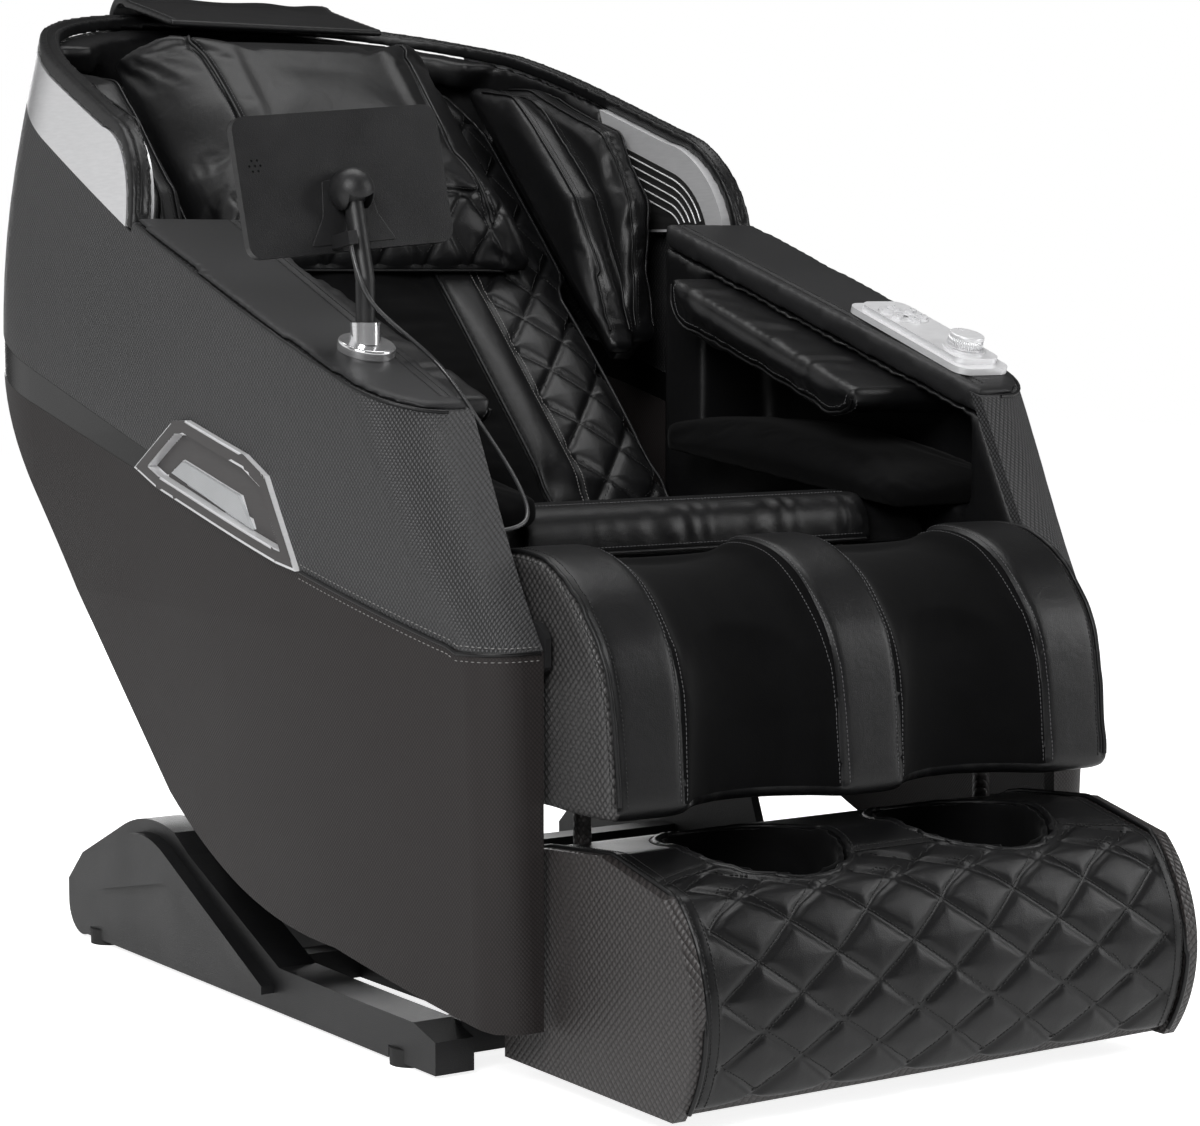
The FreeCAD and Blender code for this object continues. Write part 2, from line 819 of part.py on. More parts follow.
def cushion(face, side):
    """Crowned pad: the part shared by a front-view section and a side-view section."""
    low = min(p[0] for p in side if not isinstance(p[0], tuple))
    high = max(p[0] for p in side if not isinstance(p[0], tuple))
    along = prism(face, xz(low), V(0, high - low, 0))
    across = side_prism(side, -FAR / 2, FAR / 2)
    return along.common(across)


waist_length, back_length = size["back_waist_length"], size["back_length"]
chest, ease = size["back_shoulder_half_width"], size["back_corner_ease"]
low_end, low_corner = -12.0, 30.0
half_plan = [(waist - 12, low_end - 1), (waist, low_corner), (waist, waist_length - 14), (chest + 1, waist_length + 20)]
half_plan += [(chest + 1, back_length - 80), (chest - ease, back_length + 1)]
pad_plan = half_plan + [(-x, y) for x, y in reversed(half_plan)]
pad = cushion(pad_face(chest), pad_side(low_end, waist_length, back_length, 26.0))
add("back_pad", pad.common(prism(pad_plan, xy(-60), V(0, 0, 120))), BACK)

pillow_low, pillow_high = size["pillow_foot"], size["pillow_head"]
puff = size["pillow_thickness"]
half = size["pillow_half_width"]
pillow_face = [
    (-half, 3.4),
    (-half, 22.0),
    ((-half * 0.8, puff * 0.86), (-half * 0.45, puff)),
    ((0.0, puff + 5), (half * 0.45, puff)),
    ((half * 0.8, puff * 0.86), (half, 22.0)),
    (half, 3.4),
]
fold = pillow_low + (pillow_high - pillow_low) * 0.38
pillow_side = [
    (pillow_low, 3.4),
    (pillow_high, 3.4),
    (pillow_high, puff - 10),
    ((pillow_high - 30, puff + 2), (pillow_high - 80, puff + 3)),
    ((fold + 50, puff + 2), (fold, puff - 6)),
    ((pillow_low + 50, puff - 10), (pillow_low, 20.0)),
]
add("head_pillow", cushion(pillow_face, pillow_side), BACK)


# Wings of the back: two padded leaves on each side of the shoulders
inner_leaf = [(214, 4), (642, 4), (642, 18), (568, 76), (388, 84), (214, 20)]
outer_leaf = [(230, 6), (640, 6), (640, 18), (593, 68), (444, 136), (348, 118), (230, 20)]
leaves = crowned(inner_leaf, size["leaf_inner"], size["leaf_inner"] + size["leaf_thickness"], 7.0)
leaves = leaves.fuse(crowned(outer_leaf, size["leaf_outer"] - size["leaf_thickness"], size["leaf_outer"], 7.0))
beside = size["back_shoulder_half_width"] + 2 * GAP
bridge = side_prism([(236, -30), (600, -30), (600, 22), (236, 22)], beside, size["leaf_outer"] - 10)
leaves = leaves.fuse(bridge).removeSplitter()
add_pair("shoulder_leaf", in_back(leaves).common(soft_room))

# Under cover closes the back of the cabin between its side panels
low, high = size["under_cover_foot"], size["under_cover_head"]
top = -size["under_cover_depth"] + size["under_cover_wall"]
sheet_face = [(low, top), (high, top), (high, top - size["under_cover_wall"]), (low, top - size["under_cover_wall"])]
slab = side_prism(sheet_face, -FAR, FAR)
slab.Placement = BACK
half_cover = inside_wall.common(slab).common(prism([(0, 0), (FAR, 0), (FAR, FAR), (0, FAR)], xy(0), V(0, 0, FAR)))
add("under_cover", largest(half_cover).fuse(mirrored(largest(half_cover))).removeSplitter())

# Head flap: a thin soft tongue that carries the head pillow over the hood's edge
flap = size["flap_thickness"]
flap_path = [(534, 989), (655, 1018.8), ((691, 1018.8), (701, 1001)), (701, 935)]
flap_path += [(701 - flap, 935), (701 - flap, 999), ((686, 1010.8), (657, 1018.8 - flap)), (536, 989 - flap)]
add("head_flap", side_prism(flap_path, -size["head_flap_half_width"], size["head_flap_half_width"]))

# Seat: a dished cushion with two soft flaps over its front edge
pan_top = size["seat_pan_height"] + size["seat_pan_thickness"]
seat_low = pan_top + GAP
crest, bowl = size["seat_crest"], size["seat_bowl"]
seat_front, seat_rear = -size["seat_front"], size["seat_rear"]
seat_side = [
    (seat_front, seat_low),
    (seat_rear, seat_low),
    (seat_rear, bowl + 4),
    ((seat_rear - 40, bowl - 2), (seat_rear - 90, bowl)),
    ((-150.0, bowl + 10), (-236.0, crest - 5)),
    (-262.0, crest - 8),
    ((-282.0, crest - 14), (seat_front, crest - 30)),
]
seat_half = size["seat_half_width"]
flare = size["seat_flare"]
seat_face = [(-seat_half - flare, seat_low), (-seat_half - flare, crest - 34)]
seat_face += [((-seat_half + 5, crest - 6), (-seat_half + 50, crest + 4)), ((0.0, crest + 9), (seat_half - 50, crest + 4))]
seat_face += [((seat_half - 5, crest - 6), (seat_half + flare, crest - 34)), (seat_half + flare, seat_low)]
seat_plan = [(-seat_half - flare, seat_front), (seat_half + flare, seat_front), (seat_half + 5, seat_rear), (-seat_half - 5, seat_rear)]
seat = prism(seat_face, xz(seat_front), V(0, seat_rear - seat_front, 0)).common(side_prism(seat_side, -FAR / 2, FAR / 2))
add("seat_cushion", seat.common(prism(seat_plan, xy(0), V(0, 0, FAR))))

lift = GAP
flap_side = [
    (-236.0, crest - 5 + lift),
    (-262.0, crest - 8 + lift),
    ((-282.3, crest - 14 + lift), (seat_front - lift, crest - 30)),
    (seat_front - lift, crest - 44),
    (seat_front - lift - flap, crest - 44),
    (seat_front - lift - flap, crest - 28),
    ((-288.0, crest - 6), (-262.0, crest + 1)),
    (-236.0, crest + 3),
]
add("seat_flap", side_prism(flap_side, -size["seat_flap_half_width"], size["seat_flap_half_width"]))

# Steelwork that tilts: side plates, seat tubes and pan, and the two beams behind the back
plate_out = size["side_plate_outer"]
plate_in = plate_out - size["side_plate_thickness"]
pivot = (-size["leg_pivot_reach"], size["leg_pivot_height"])
tilt = (size["tilt_pivot_reach"], size["tilt_pivot_height"])
deck = size["seat_pan_height"]
plate_side = [
    (pivot[0] - 26, pivot[1] - 12),
    (pivot[0] - 26, pivot[1] + 13),
    ((pivot[0] - 18, pivot[1] + 22), (pivot[0], pivot[1] + 26)),
    (pivot[0] + 24, pivot[1] + 22),
    (pivot[0] + 52, deck),
    (150, deck),
    (188, deck + 50),
    (254, deck + 50),
    (254, 402),
    (234, 332),
    (tilt[0] + 44, tilt[1] - 30),
    ((tilt[0], tilt[1] - 40), (tilt[0] - 44, tilt[1] - 30)),
    (tilt[0] - 96, 300),
    (-420, 348),
]
side_plate = side_prism(plate_side, plate_in, plate_out)


def pin(centre, radius, x_low, x_high):
    return Part.makeCylinder(radius, x_high - x_low, V(x_low, centre[0], centre[1]), V(1, 0, 0))


play = size["pivot_play"]
side_plate = side_plate.cut(pin(pivot, size["pivot_radius"] + play, plate_in - 1, plate_out + 1))
side_plate = side_plate.cut(pin(tilt, size["tilt_pin_radius"] + play, plate_in - 1, plate_out + 1))


reach = plate_in + 1.5
tube = size["frame_tube"]
beam_in = size["beam_inner"]
beam_out = beam_in + size["beam_width"]
beam_top = -thick - 1
beam_low = beam_top - size["beam_depth"]
steel = [side_plate, mirrored(side_plate)]
steel += [box(-reach, reach, -250, -250 + tube, deck - tube, deck), box(-reach, reach, 18, 18 + tube, deck - tube, deck)]
steel += [box(-seat_half - 6, seat_half + 6, seat_front, seat_rear, deck, pan_top)]
steel += [in_back(box(-reach, reach, 40, 80, beam_low, beam_low + tube))]
steel += [in_back(box(-beam_in - 1, beam_in + 1, at, at + tube, beam_low, beam_low + 20)) for at in (330, 475)]
for side in (-1, 1):
    beam = in_back(box(min(side * beam_in, side * beam_out), max(side * beam_in, side * beam_out), 20, 520, beam_low, beam_top))
    steel.append(beam)
cabin_frame = steel[0]
for piece in steel[1:]:
    cabin_frame = cabin_frame.fuse(piece)
add("cabin_frame", cabin_frame.removeSplitter())

# Massage drive: toothed rails up the back, a carriage between them and one shaft with two pinions
module = size["rack_module"]
pitch = math.pi * module
rail_in = size["rail_centre"] - size["rail_width"] / 2
rail_out = rail_in + size["rail_width"]
rail_top = -size["rail_top"]
rail_low = rail_top - size["rail_depth"]
rack_rise, rack_drop = size["rack_addendum"], size["rack_dedendum"]
slope = math.tan(math.radians(20))
rail_path = [(0.0, rail_top - 8), (0.0, rail_low)]
teeth = int(size["rail_length"] / pitch)
for i in range(teeth):
    mid = (i + 0.5) * pitch
    half_tooth = pitch / 4 - size["rack_backlash"] / 2
    base, tip = half_tooth + rack_drop * slope, half_tooth - rack_rise * slope
    crest_z = rail_low - rack_drop - rack_rise
    rail_path += [(mid - base, rail_low), (mid - tip, crest_z), (mid + tip, crest_z), (mid + base, rail_low)]
rail_path += [(size["rail_length"], rail_low), (size["rail_length"], rail_top - 8), (size["rail_length"], rail_top), (0.0, rail_top)]
rail = side_prism(rail_path, rail_in, rail_out)
groove = box(rail_in - 1, rail_in + 8, -1, size["rail_length"] + 1, rail_top - 20, rail_top - 8)
rail = rail.cut(groove)
rail = rail.fuse(box(rail_out - 1, beam_in - GAP, 40, 80, rail_low, rail_low + 14))
rail = rail.fuse(box(rail_out - 1, beam_in - GAP, 520, 560, rail_low, rail_low + 14)).removeSplitter()
add_pair("massage_rail", rail, BACK)


# The carriage that climbs the rails: a plate with side shoes, bearing blocks and the arm pivot
slack = size["running_play"]
shoe_out = rail_in - slack
park = size["massage_park"]
plate_top = rail_low + 4
climb_body = box(-shoe_out, shoe_out, park - 70, park + 70, plate_top - 8, plate_top)
for side in (-1, 1):
    low_x, high_x = sorted((side * (rail_in - slack - 14), side * (rail_in - slack)))
    climb_body = climb_body.fuse(box(low_x, high_x, park - 70, park + 70, plate_top - 8, rail_top - 8))
    low_x, high_x = sorted((side * (rail_in - slack - 2), side * (rail_in + 6)))
    climb_body = climb_body.fuse(box(low_x, high_x, park - 60, park + 60, rail_top - 19, rail_top - 9))
shaft_y = park
pitch_radius = size["pinion_teeth"] * module / 2
shaft_z = rail_low - rack_drop - pitch_radius
shaft_radius = size["pinion_shaft_radius"]
for side in (-1, 1):
    low_x, high_x = sorted((side * (rail_in - slack - 14), side * (rail_in - slack - 4)))
    ear = box(low_x, high_x, park - 16, park + 16, shaft_z - 14, plate_top - 4)
    climb_body = climb_body.fuse(ear)
climb_body = climb_body.cut(pin((shaft_y, shaft_z), shaft_radius + slack, -rail_out, rail_out))
arm_axle = (park + 44, rail_top - 10)
axle_radius = size["roller_axle_radius"]
for side in (-1, 1):
    low_x, high_x = sorted((side * 24, side * 36))
    climb_body = climb_body.fuse(box(low_x, high_x, park + 32, park + 56, plate_top - 4, rail_top - 2))
    low_x, high_x = sorted((side * 37, side * 80))
    climb_body = climb_body.cut(box(low_x, high_x, park - 50, park + 64, plate_top - 9, plate_top + 1))
climb_body = climb_body.cut(pin(arm_axle, axle_radius + slack, -40, 40))
add("massage_carriage", climb_body.removeSplitter(), BACK)


def involute_gear(teeth, tip_radius, root_radius, backlash):
    """Closed outline of a spur gear with true involute flanks, as corner points about the origin."""
    reference = teeth * module / 2
    base = reference * math.cos(math.radians(20))
    spread = math.tan(math.radians(20)) - math.radians(20)
    half_angle = math.pi / (2 * teeth) - backlash / (2 * reference) + spread
    start = max(base, root_radius)
    points = []
    for tooth in range(teeth):
        middle = 2 * math.pi * tooth / teeth
        flank = []
        for step in range(5):
            radius = start + (tip_radius - start) * step / 4
            roll = math.acos(base / radius)
            flank.append((radius, half_angle - (math.tan(roll) - roll)))
        points.append((root_radius, middle - half_angle - 0.02))
        points += [(radius, middle - angle) for radius, angle in flank]
        points += [(radius, middle + angle) for radius, angle in reversed(flank)]
        points.append((root_radius, middle + half_angle + 0.02))
    return [(radius * math.cos(angle), radius * math.sin(angle)) for radius, angle in points]


teeth_count = int(size["pinion_teeth"])
gear = involute_gear(teeth_count, pitch_radius + 2.2, pitch_radius - 2.5, size["rack_backlash"])
phase = (shaft_y / pitch - 0.5) % 1.0
angle = math.pi / 2 + (0.5 + phase) * 2 * math.pi / teeth_count
cos_turn, sin_turn = math.cos(angle), math.sin(angle)
gear_path = [(shaft_y + a * cos_turn - b * sin_turn, shaft_z + a * sin_turn + b * cos_turn) for a, b in gear]
shaft = pin((shaft_y, shaft_z), shaft_radius, -rail_out + 2, rail_out - 2)
for side in (-1, 1):
    low_x, high_x = sorted((side * (rail_in + 4), side * (rail_out - 4)))
    shaft = shaft.fuse(side_prism(gear_path, low_x, high_x))
add("pinion_shaft", shaft.removeSplitter(), BACK)

# Kneading arm: a rocking pair of bars on one axle, with a rubber-tyred roller at each end
arm_low, arm_high = park - 30, park + 118
arm_body = pin(arm_axle, axle_radius, -44, 44)
for side in (-1, 1):
    low_x, high_x = sorted((side * 38, side * 46))
    bar = side_prism([(arm_low, arm_axle[1] - 7), (arm_high, arm_axle[1] - 7), (arm_high, arm_axle[1] + 7), (arm_low, arm_axle[1] + 7)], low_x, high_x)
    arm_body = arm_body.fuse(bar)
    for end in (arm_low + 10, arm_high - 10):
        low_x, high_x = sorted((side * 46, side * 74))
        arm_body = arm_body.fuse(pin((end, arm_axle[1]), size["roller_radius"], low_x, high_x))
add("kneading_arm", arm_body.removeSplitter(), BACK)


# Leg rest: steel frame on two pivot pins, with a padded body that has a well for each calf
leg_half = size["leg_half_width"]
skin = size["calf_side_skin"]
frame_out = leg_half - skin
bay = [(-462, 250), (-462, 425), (-357, 425), (-357, 250)]
calf_side = [
    (-size["calf_rear"], size["calf_floor"]),
    (-size["calf_rear"], 425),
    ((-362, 452), (-395, size["calf_crest"])),
    ((-452, 453), (-505, 412)),
    ((-534, 368), (-548, 310)),
    (-size["calf_face"], 262),
    ((-550, 251), (-540, size["calf_floor"])),
]
calf = side_prism(calf_side, -leg_half, leg_half)
calf = calf.cut(box(-frame_out - 1, frame_out + 1, bay[0][0], bay[2][0], size["calf_floor"] - 1, bay[1][1]))
well_x = (size["calf_band_inner"] + size["calf_middle_half_width"]) / 2
well_radius = size["calf_trough_radius"]
well_reach = size["calf_face"] - size["calf_trough_depth"] + well_radius
well_low, well_high = size["calf_middle_half_width"], size["calf_band_inner"]
for side in (-1, 1):
    well = Part.makeCylinder(well_radius, 400, V(side * well_x, -well_reach, 200))
    calf = calf.cut(well)
    calf = calf.cut(pin(pivot, size["pivot_radius"] + play, min(side * frame_out, side * leg_half) - 1, max(side * frame_out, side * leg_half) + 1))
add("calf_cushion", calf.removeSplitter())

rod_x, rod_y = size["rod_centre"], -size["rod_reach"]
side_face = "(Sizes.leg_half_width - Sizes.calf_side_skin)"
cheek = bound(
    "Box",
    "calf_cheek",
    (f"{side_face} - Sizes.calf_cheek", "-Sizes.calf_cheek_front", "Sizes.calf_cheek_foot"),
    Length="Sizes.calf_cheek",
    Width="Sizes.calf_cheek_front - Sizes.calf_cheek_rear",
    Height="Sizes.calf_cheek_head - Sizes.calf_cheek_foot",
)
sleeve = bound(
    "Cylinder",
    "rod_sleeve",
    ("Sizes.rod_centre", "-Sizes.rod_reach", "Sizes.calf_cheek_foot"),
    Radius="Sizes.rod_radius + Sizes.sleeve_wall",
    Height="Sizes.sleeve_length",
)
trunnion = bound(
    "Cylinder",
    "calf_trunnion",
    (f"{side_face} - 1", "-Sizes.leg_pivot_reach", "Sizes.leg_pivot_height"),
    ALONG_X,
    Radius="Sizes.pivot_radius",
    Height=f"Sizes.side_plate_outer - {side_face} + 0.5",
)
bars = [
    bound(
        "Box",
        f"calf_bar_{i}",
        (f"-{side_face} + 1", "-Sizes.calf_bar_front", at),
        Length=f"2 * {side_face} - 2",
        Width="Sizes.calf_bar_depth",
        Height="Sizes.calf_bar_height",
    )
    for i, at in enumerate(("Sizes.calf_cheek_foot", "Sizes.calf_bar_upper"))
]
half = [cheek, sleeve, trunnion]
welded = joined("calf_weldment", *half, *[reflected(part) for part in half], *bars)
rod_bore = bound(
    "Cylinder",
    "rod_bore",
    ("Sizes.rod_centre", "-Sizes.rod_reach", "Sizes.calf_cheek_foot - 4"),
    Radius="Sizes.rod_radius + Sizes.sleeve_play",
    Height="Sizes.calf_cheek_head - Sizes.calf_cheek_foot",
)
deliver("calf_frame", drilled("calf_frame", welded, joined("rod_bores", rod_bore, reflected(rod_bore))))

# Foot unit: tub on two rods, quilted cover over its toe and top, soft socks in its two holes
shell = size["foot_cover_thickness"]
toe = [(-size["foot_rear"], 20), (-640, size["foot_floor"])]
toe += [((-size["foot_bulge"], 92), (-size["foot_brow"], size["foot_brow_height"]))]
toe += [(-535, size["foot_top_height"]), (-444, 214), (-400, 205), (-size["foot_rear"], 190)]
core = [(-size["foot_rear"], 20), (-626, 17.3)]
core += [((-size["foot_bulge"] + shell, 94), (-size["foot_brow"] + shell - 3, size["foot_brow_height"] - 10))]
core += [(-533, size["foot_top_height"] - shell), (-444, 214 - shell), (-size["foot_rear"], 189)]
hole_x, hole_y = size["foot_hole_centre"], -size["foot_hole_reach"]


def oval(side, grow, z_low, z_high):
    """Upright elliptical prism over one foot hole, grown outwards by an amount."""
    long_half, short_half = size["foot_hole_half_length"] + grow, size["foot_hole_half_width"] + grow
    curve = Part.Ellipse(V(0, 0, 0), long_half, short_half).toShape()
    face = Part.Face(Part.Wire([curve]))
    face.rotate(V(0, 0, 0), V(0, 0, 1), 90)
    face.translate(V(side * hole_x, hole_y, z_low))
    return face.extrude(V(0, 0, z_high - z_low))


cover_half = size["foot_cover_half_width"]
whole = side_prism(toe, -leg_half, leg_half)
middle_core = side_prism(core, -cover_half, cover_half)
cheeks = whole.cut(box(-cover_half, cover_half, -FAR, 0, 0, FAR))
tub = middle_core.fuse(cheeks).removeSplitter()
roller_y, roller_z = hole_y, size["foot_roller_height"]
cover = side_prism(toe, -cover_half + GAP, cover_half - GAP).cut(side_prism(core, -FAR / 2, FAR / 2))
cover = cover.cut(box(-FAR / 2, FAR / 2, -FAR, 0, 0, 24))
for side in (-1, 1):
    tub = tub.cut(oval(side, 0.0, 24, FAR / 2))
    cover = cover.cut(oval(side, 0.0, 24, FAR / 2))
    cover = cover.cut(Part.makeCylinder(size["rod_radius"] + GAP, 100, V(side * rod_x, rod_y, 180)))
    tub = tub.fuse(Part.makeCylinder(size["rod_radius"], 418 - 190, V(side * rod_x, rod_y, 190)))
tub = tub.cut(pin((roller_y, roller_z), size["roller_shaft_radius"] + size["running_play"], -252, 252))
add("foot_body", tub.removeSplitter())
add("foot_cover", largest(cover))
liner_wall = size["foot_liner_wall"]
sole = size["foot_sole_height"]
sock_top = side_prism(toe, 0, FAR)
sock = oval(1, -GAP, sole - liner_wall, FAR / 2).cut(oval(1, -liner_wall - GAP, sole, FAR / 2)).common(sock_top)
add_pair("foot_sock", sock)
axle = bound(
    "Cylinder",
    "foot_axle",
    ("-Sizes.foot_roller_span / 2", "-Sizes.foot_hole_reach", "Sizes.foot_roller_height"),
    ALONG_X,
    Radius="Sizes.roller_shaft_radius",
    Height="Sizes.foot_roller_span",
)
drum = bound(
    "Cylinder",
    "foot_drum",
    ("Sizes.foot_hole_centre - Sizes.foot_roller_length / 2", "-Sizes.foot_hole_reach", "Sizes.foot_roller_height"),
    ALONG_X,
    Radius="Sizes.foot_roller_radius",
    Height="Sizes.foot_roller_length",
)
deliver("foot_roller", joined("foot_roller", axle, drum, reflected(drum)))

# Base: a welded frame on five rubber feet, between two moulded skids
lower = size["frame_height"]
higher = lower + size["frame_bar"]
bar = size["frame_bar"]
rail_x = size["frame_rail_centre"]
inner = size["skid_inner"]
tube = bound(
    "Box",
    "frame_tube",
    ("Sizes.frame_rail_centre - Sizes.frame_bar / 2", "-Sizes.frame_front", "Sizes.frame_height"),
    Length="Sizes.frame_bar",
    Width="Sizes.frame_front + Sizes.frame_rear",
    Height="Sizes.frame_bar",
)
slide = bound(
    "Box",
    "slide_strip",
    (
        "Sizes.frame_rail_centre - Sizes.slide_rail_width / 2",
        "-Sizes.slide_rail_reach",
        "Sizes.frame_height + Sizes.frame_bar - 1",
    ),
    Length="Sizes.slide_rail_width",
    Width="2 * Sizes.slide_rail_reach",
    Height="Sizes.slide_rail_height + 1",
)
crosses = [
    bound(
        "Box",
        f"cross_tube_{i}",
        ("-Sizes.skid_inner + Sizes.part_gap", at, "Sizes.frame_height"),
        Length="2 * (Sizes.skid_inner - Sizes.part_gap)",
        Width="Sizes.frame_bar",
        Height="Sizes.frame_bar",
    )
    for i, at in enumerate(("-Sizes.cross_front", "-Sizes.cross_middle", "Sizes.cross_rear"))
]
deliver("base_frame", joined("base_frame", tube, reflected(tube), slide, reflected(slide), *crosses))
slide_half = size["slide_rail_width"] / 2
skid_side = [
    (-size["base_front"], 4),
    (size["base_rear"] - 45, 6),
    ((size["base_rear"] - 12, 12), (size["base_rear"], 40)),
    (size["base_rear"], 60),
    (369, 93),
    (273, 135),
    ((215, 151), (150, 146)),
    (118, 128),
    (-70, 48),
    ((-190, 46), (-320, 45)),
    (-size["base_front"], 34),
]
skid = side_prism(skid_side, inner, inner + size["skid_width"] - 14)
ridge_side = [(size["base_rear"] - 60, 90), (240, 132), ((190, 138), (146, 126)), (-60, 30), (-60, 22), (150, 96), (330, 60)]
skid = skid.fuse(side_prism(ridge_side, inner + 1, inner + size["skid_width"])).removeSplitter()
foot_height = size["foot_pad_height"]
for at in (-size["foot_pad_front"], size["foot_pad_rear"]):
    seat_of_pad = V(inner + size["foot_pad_inset"], at, 0)
    skid = skid.cut(Part.makeCylinder(size["foot_pad_radius"] + 1, foot_height, seat_of_pad))
add_pair("skid", skid)
pads = [
    bound(
        "Cylinder",
        f"corner_foot_{i}",
        ("Sizes.skid_inner + Sizes.foot_pad_inset", at, "0"),
        Radius="Sizes.foot_pad_radius",
        Height="Sizes.foot_pad_height - Sizes.part_gap",
    )
    for i, at in enumerate(("-Sizes.foot_pad_front", "Sizes.foot_pad_rear"))
]
# The fifth foot stops the middle cross tube from sagging, and its face holds the origin
pads += [reflected(pad) for pad in pads]
pads.append(bound("Cylinder", "middle_foot", Radius="Sizes.foot_pad_radius", Height="Sizes.frame_height - Sizes.part_gap"))
feet = doc.addObject("Part::Compound", "foot_pads")
feet.Links = pads
deliver("foot_pads", feet)

box_low, box_high = higher + GAP, higher + GAP + size["power_box_height"]
unit = box(-110, 110, 302, 398, box_low, box_high)
unit = unit.makeFillet(8.0, [e for e in unit.Edges if abs(e.BoundBox.YLength) > 90 or abs(e.BoundBox.ZLength) > 50][:6])
unit = unit.cut(box(-84, -56, 380, 399, box_low + 14, box_low + 34))
for x in (-78, -70, -62):
    unit = unit.fuse(box(x - 1, x + 1, 378, 394, box_low + 20, box_low + 26))
unit = unit.cut(box(-26, -2, 386, 399, box_low + 16, box_low + 31))
add("power_box", unit)
rocker_floor = "Sizes.frame_height + Sizes.frame_bar + Sizes.part_gap + 18.3"
rocker_roof = "Sizes.frame_height + Sizes.frame_bar + Sizes.part_gap + 28.7"
rocker_face = [("390", rocker_floor), ("397.5", rocker_floor), ("399.5", rocker_roof), ("390", rocker_roof)]
plate("rocker_switch", "YZ_Plane", rocker_face, "Sizes.rocker_width", ("-25.7", "0", "0"))

# Carriage: two runners that grip the rails, cross beams and the two uprights with the tilt pins
run_low = higher + size["slide_rail_height"] + slack
run_top = run_low + 15
grip_out = slide_half + 10
runner = box(rail_x - grip_out, rail_x + grip_out, -140, 250, run_low - 12, run_top)
runner = runner.cut(box(rail_x - slide_half - slack, rail_x + slide_half + slack, -141, 251, run_low - 13, run_low))
side_out = size["upright_outer"]
side_in = side_out - size["upright_thickness"]
upright_side = [(-40, run_top), (170, run_top), (tilt[0] + 34, tilt[1] + 10), ((tilt[0], tilt[1] + 34), (tilt[0] - 34, tilt[1] + 10))]
moving = side_prism(upright_side, side_in, side_out).fuse(runner)
moving = moving.fuse(mirrored(moving))
for at in (-30, 130):
    moving = moving.fuse(box(-side_out + 1, side_out - 1, at, at + bar, run_top - 1, run_top + 24))
moving = moving.fuse(pin(tilt, size["tilt_pin_radius"], side_out - 1, plate_out - 0.5))
moving = moving.fuse(pin(tilt, size["tilt_pin_radius"], -plate_out + 0.5, -side_out + 1))
add("carriage", moving.removeSplitter())

# Screen on its swivelling post, on the right arm


def on_arm(x, y):
    """Placement with its z axis square to the sloping arm top at this point."""
    return FreeCAD.Placement(V(x, y, arm_top(y)), FreeCAD.Rotation(V(1, 0, 0), size["arm_slope"]))


post_x, post_y = -size["post_x"], -size["post_reach"]
disc = Part.makeCylinder(size["flange_radius"], size["flange_height"], V(0, 0, GAP))
disc = disc.makeFillet(2.5, [e for e in disc.Edges if e.BoundBox.ZMin > size["flange_height"]][:1])
disc.Placement = on_arm(post_x, post_y)
post_foot = arm_top(post_y) + 10
socket_radius = size["post_radius"] + 5
collar = Part.makeCylinder(socket_radius, 20, V(post_x, post_y, post_foot - 4))
flange = disc.fuse(collar)
flange = flange.cut(Part.makeCylinder(size["post_radius"] + slack, 40, V(post_x, post_y, post_foot)))
add("post_flange", flange.removeSplitter())
knee = V(post_x, post_y, size["post_knee_height"])
ball = V(-size["ball_x"], -size["ball_reach"], size["ball_height"])
stand = "(Sizes.arm_tip_height + (Sizes.arm_tip_reach - Sizes.post_reach) * tan(Sizes.arm_slope) + 10 + Sizes.running_play)"
at_post = ("-Sizes.post_x", "-Sizes.post_reach")
at_ball = ("-Sizes.ball_x", "-Sizes.ball_reach", "Sizes.ball_height")
lean = math.degrees(math.atan2(ball.y - knee.y, ball.z - knee.z))
reach = "sqrt(pow(Sizes.post_reach - Sizes.ball_reach; 2) + pow(Sizes.ball_height - Sizes.post_knee_height; 2))"
post_parts = [
    bound("Cylinder", "post_foot", (*at_post, stand), Radius="Sizes.post_radius", Height=f"Sizes.post_knee_height - {stand}"),
    bound("Sphere", "post_knee", (*at_post, "Sizes.post_knee_height"), Radius="Sizes.post_radius"),
    bound("Cylinder", "post_neck", (*at_post, "Sizes.post_knee_height"), (V(1, 0, 0), -lean), Radius="Sizes.post_radius", Height=reach),
    bound("Sphere", "post_ball", at_ball, Radius="Sizes.ball_radius"),
]
deliver("screen_post", joined("screen_post", *post_parts))

SCREEN = FreeCAD.Placement(ball, FreeCAD.Rotation(V(0, 1, 0), -size["screen_roll"]).multiply(FreeCAD.Rotation(V(1, 0, 0), -size["screen_tilt"])))
wide, tall, deep = size["screen_width"], size["screen_height"], size["screen_thickness"]
screen_rise = size["screen_rise"]
screen_back = size["screen_back"]
panel_box = box(-wide / 2, wide / 2, screen_back, screen_back + deep, screen_rise - tall / 2, screen_rise + tall / 2)
panel_box = panel_box.makeFillet(13.0, [e for e in panel_box.Edges if e.BoundBox.YLength > deep - 1])
dome = Part.makeSphere(size["dome_radius"], V(0, 0, 0)).common(box(-40, 40, -40, screen_back + 1, -40, 40))
neck = math.radians(16)
swing = math.radians(32)


def ray(angle, length=60.0):
    """Point this far from the ball, down and forward at this angle to the vertical."""
    return -length * math.sin(angle), -length * math.cos(angle)


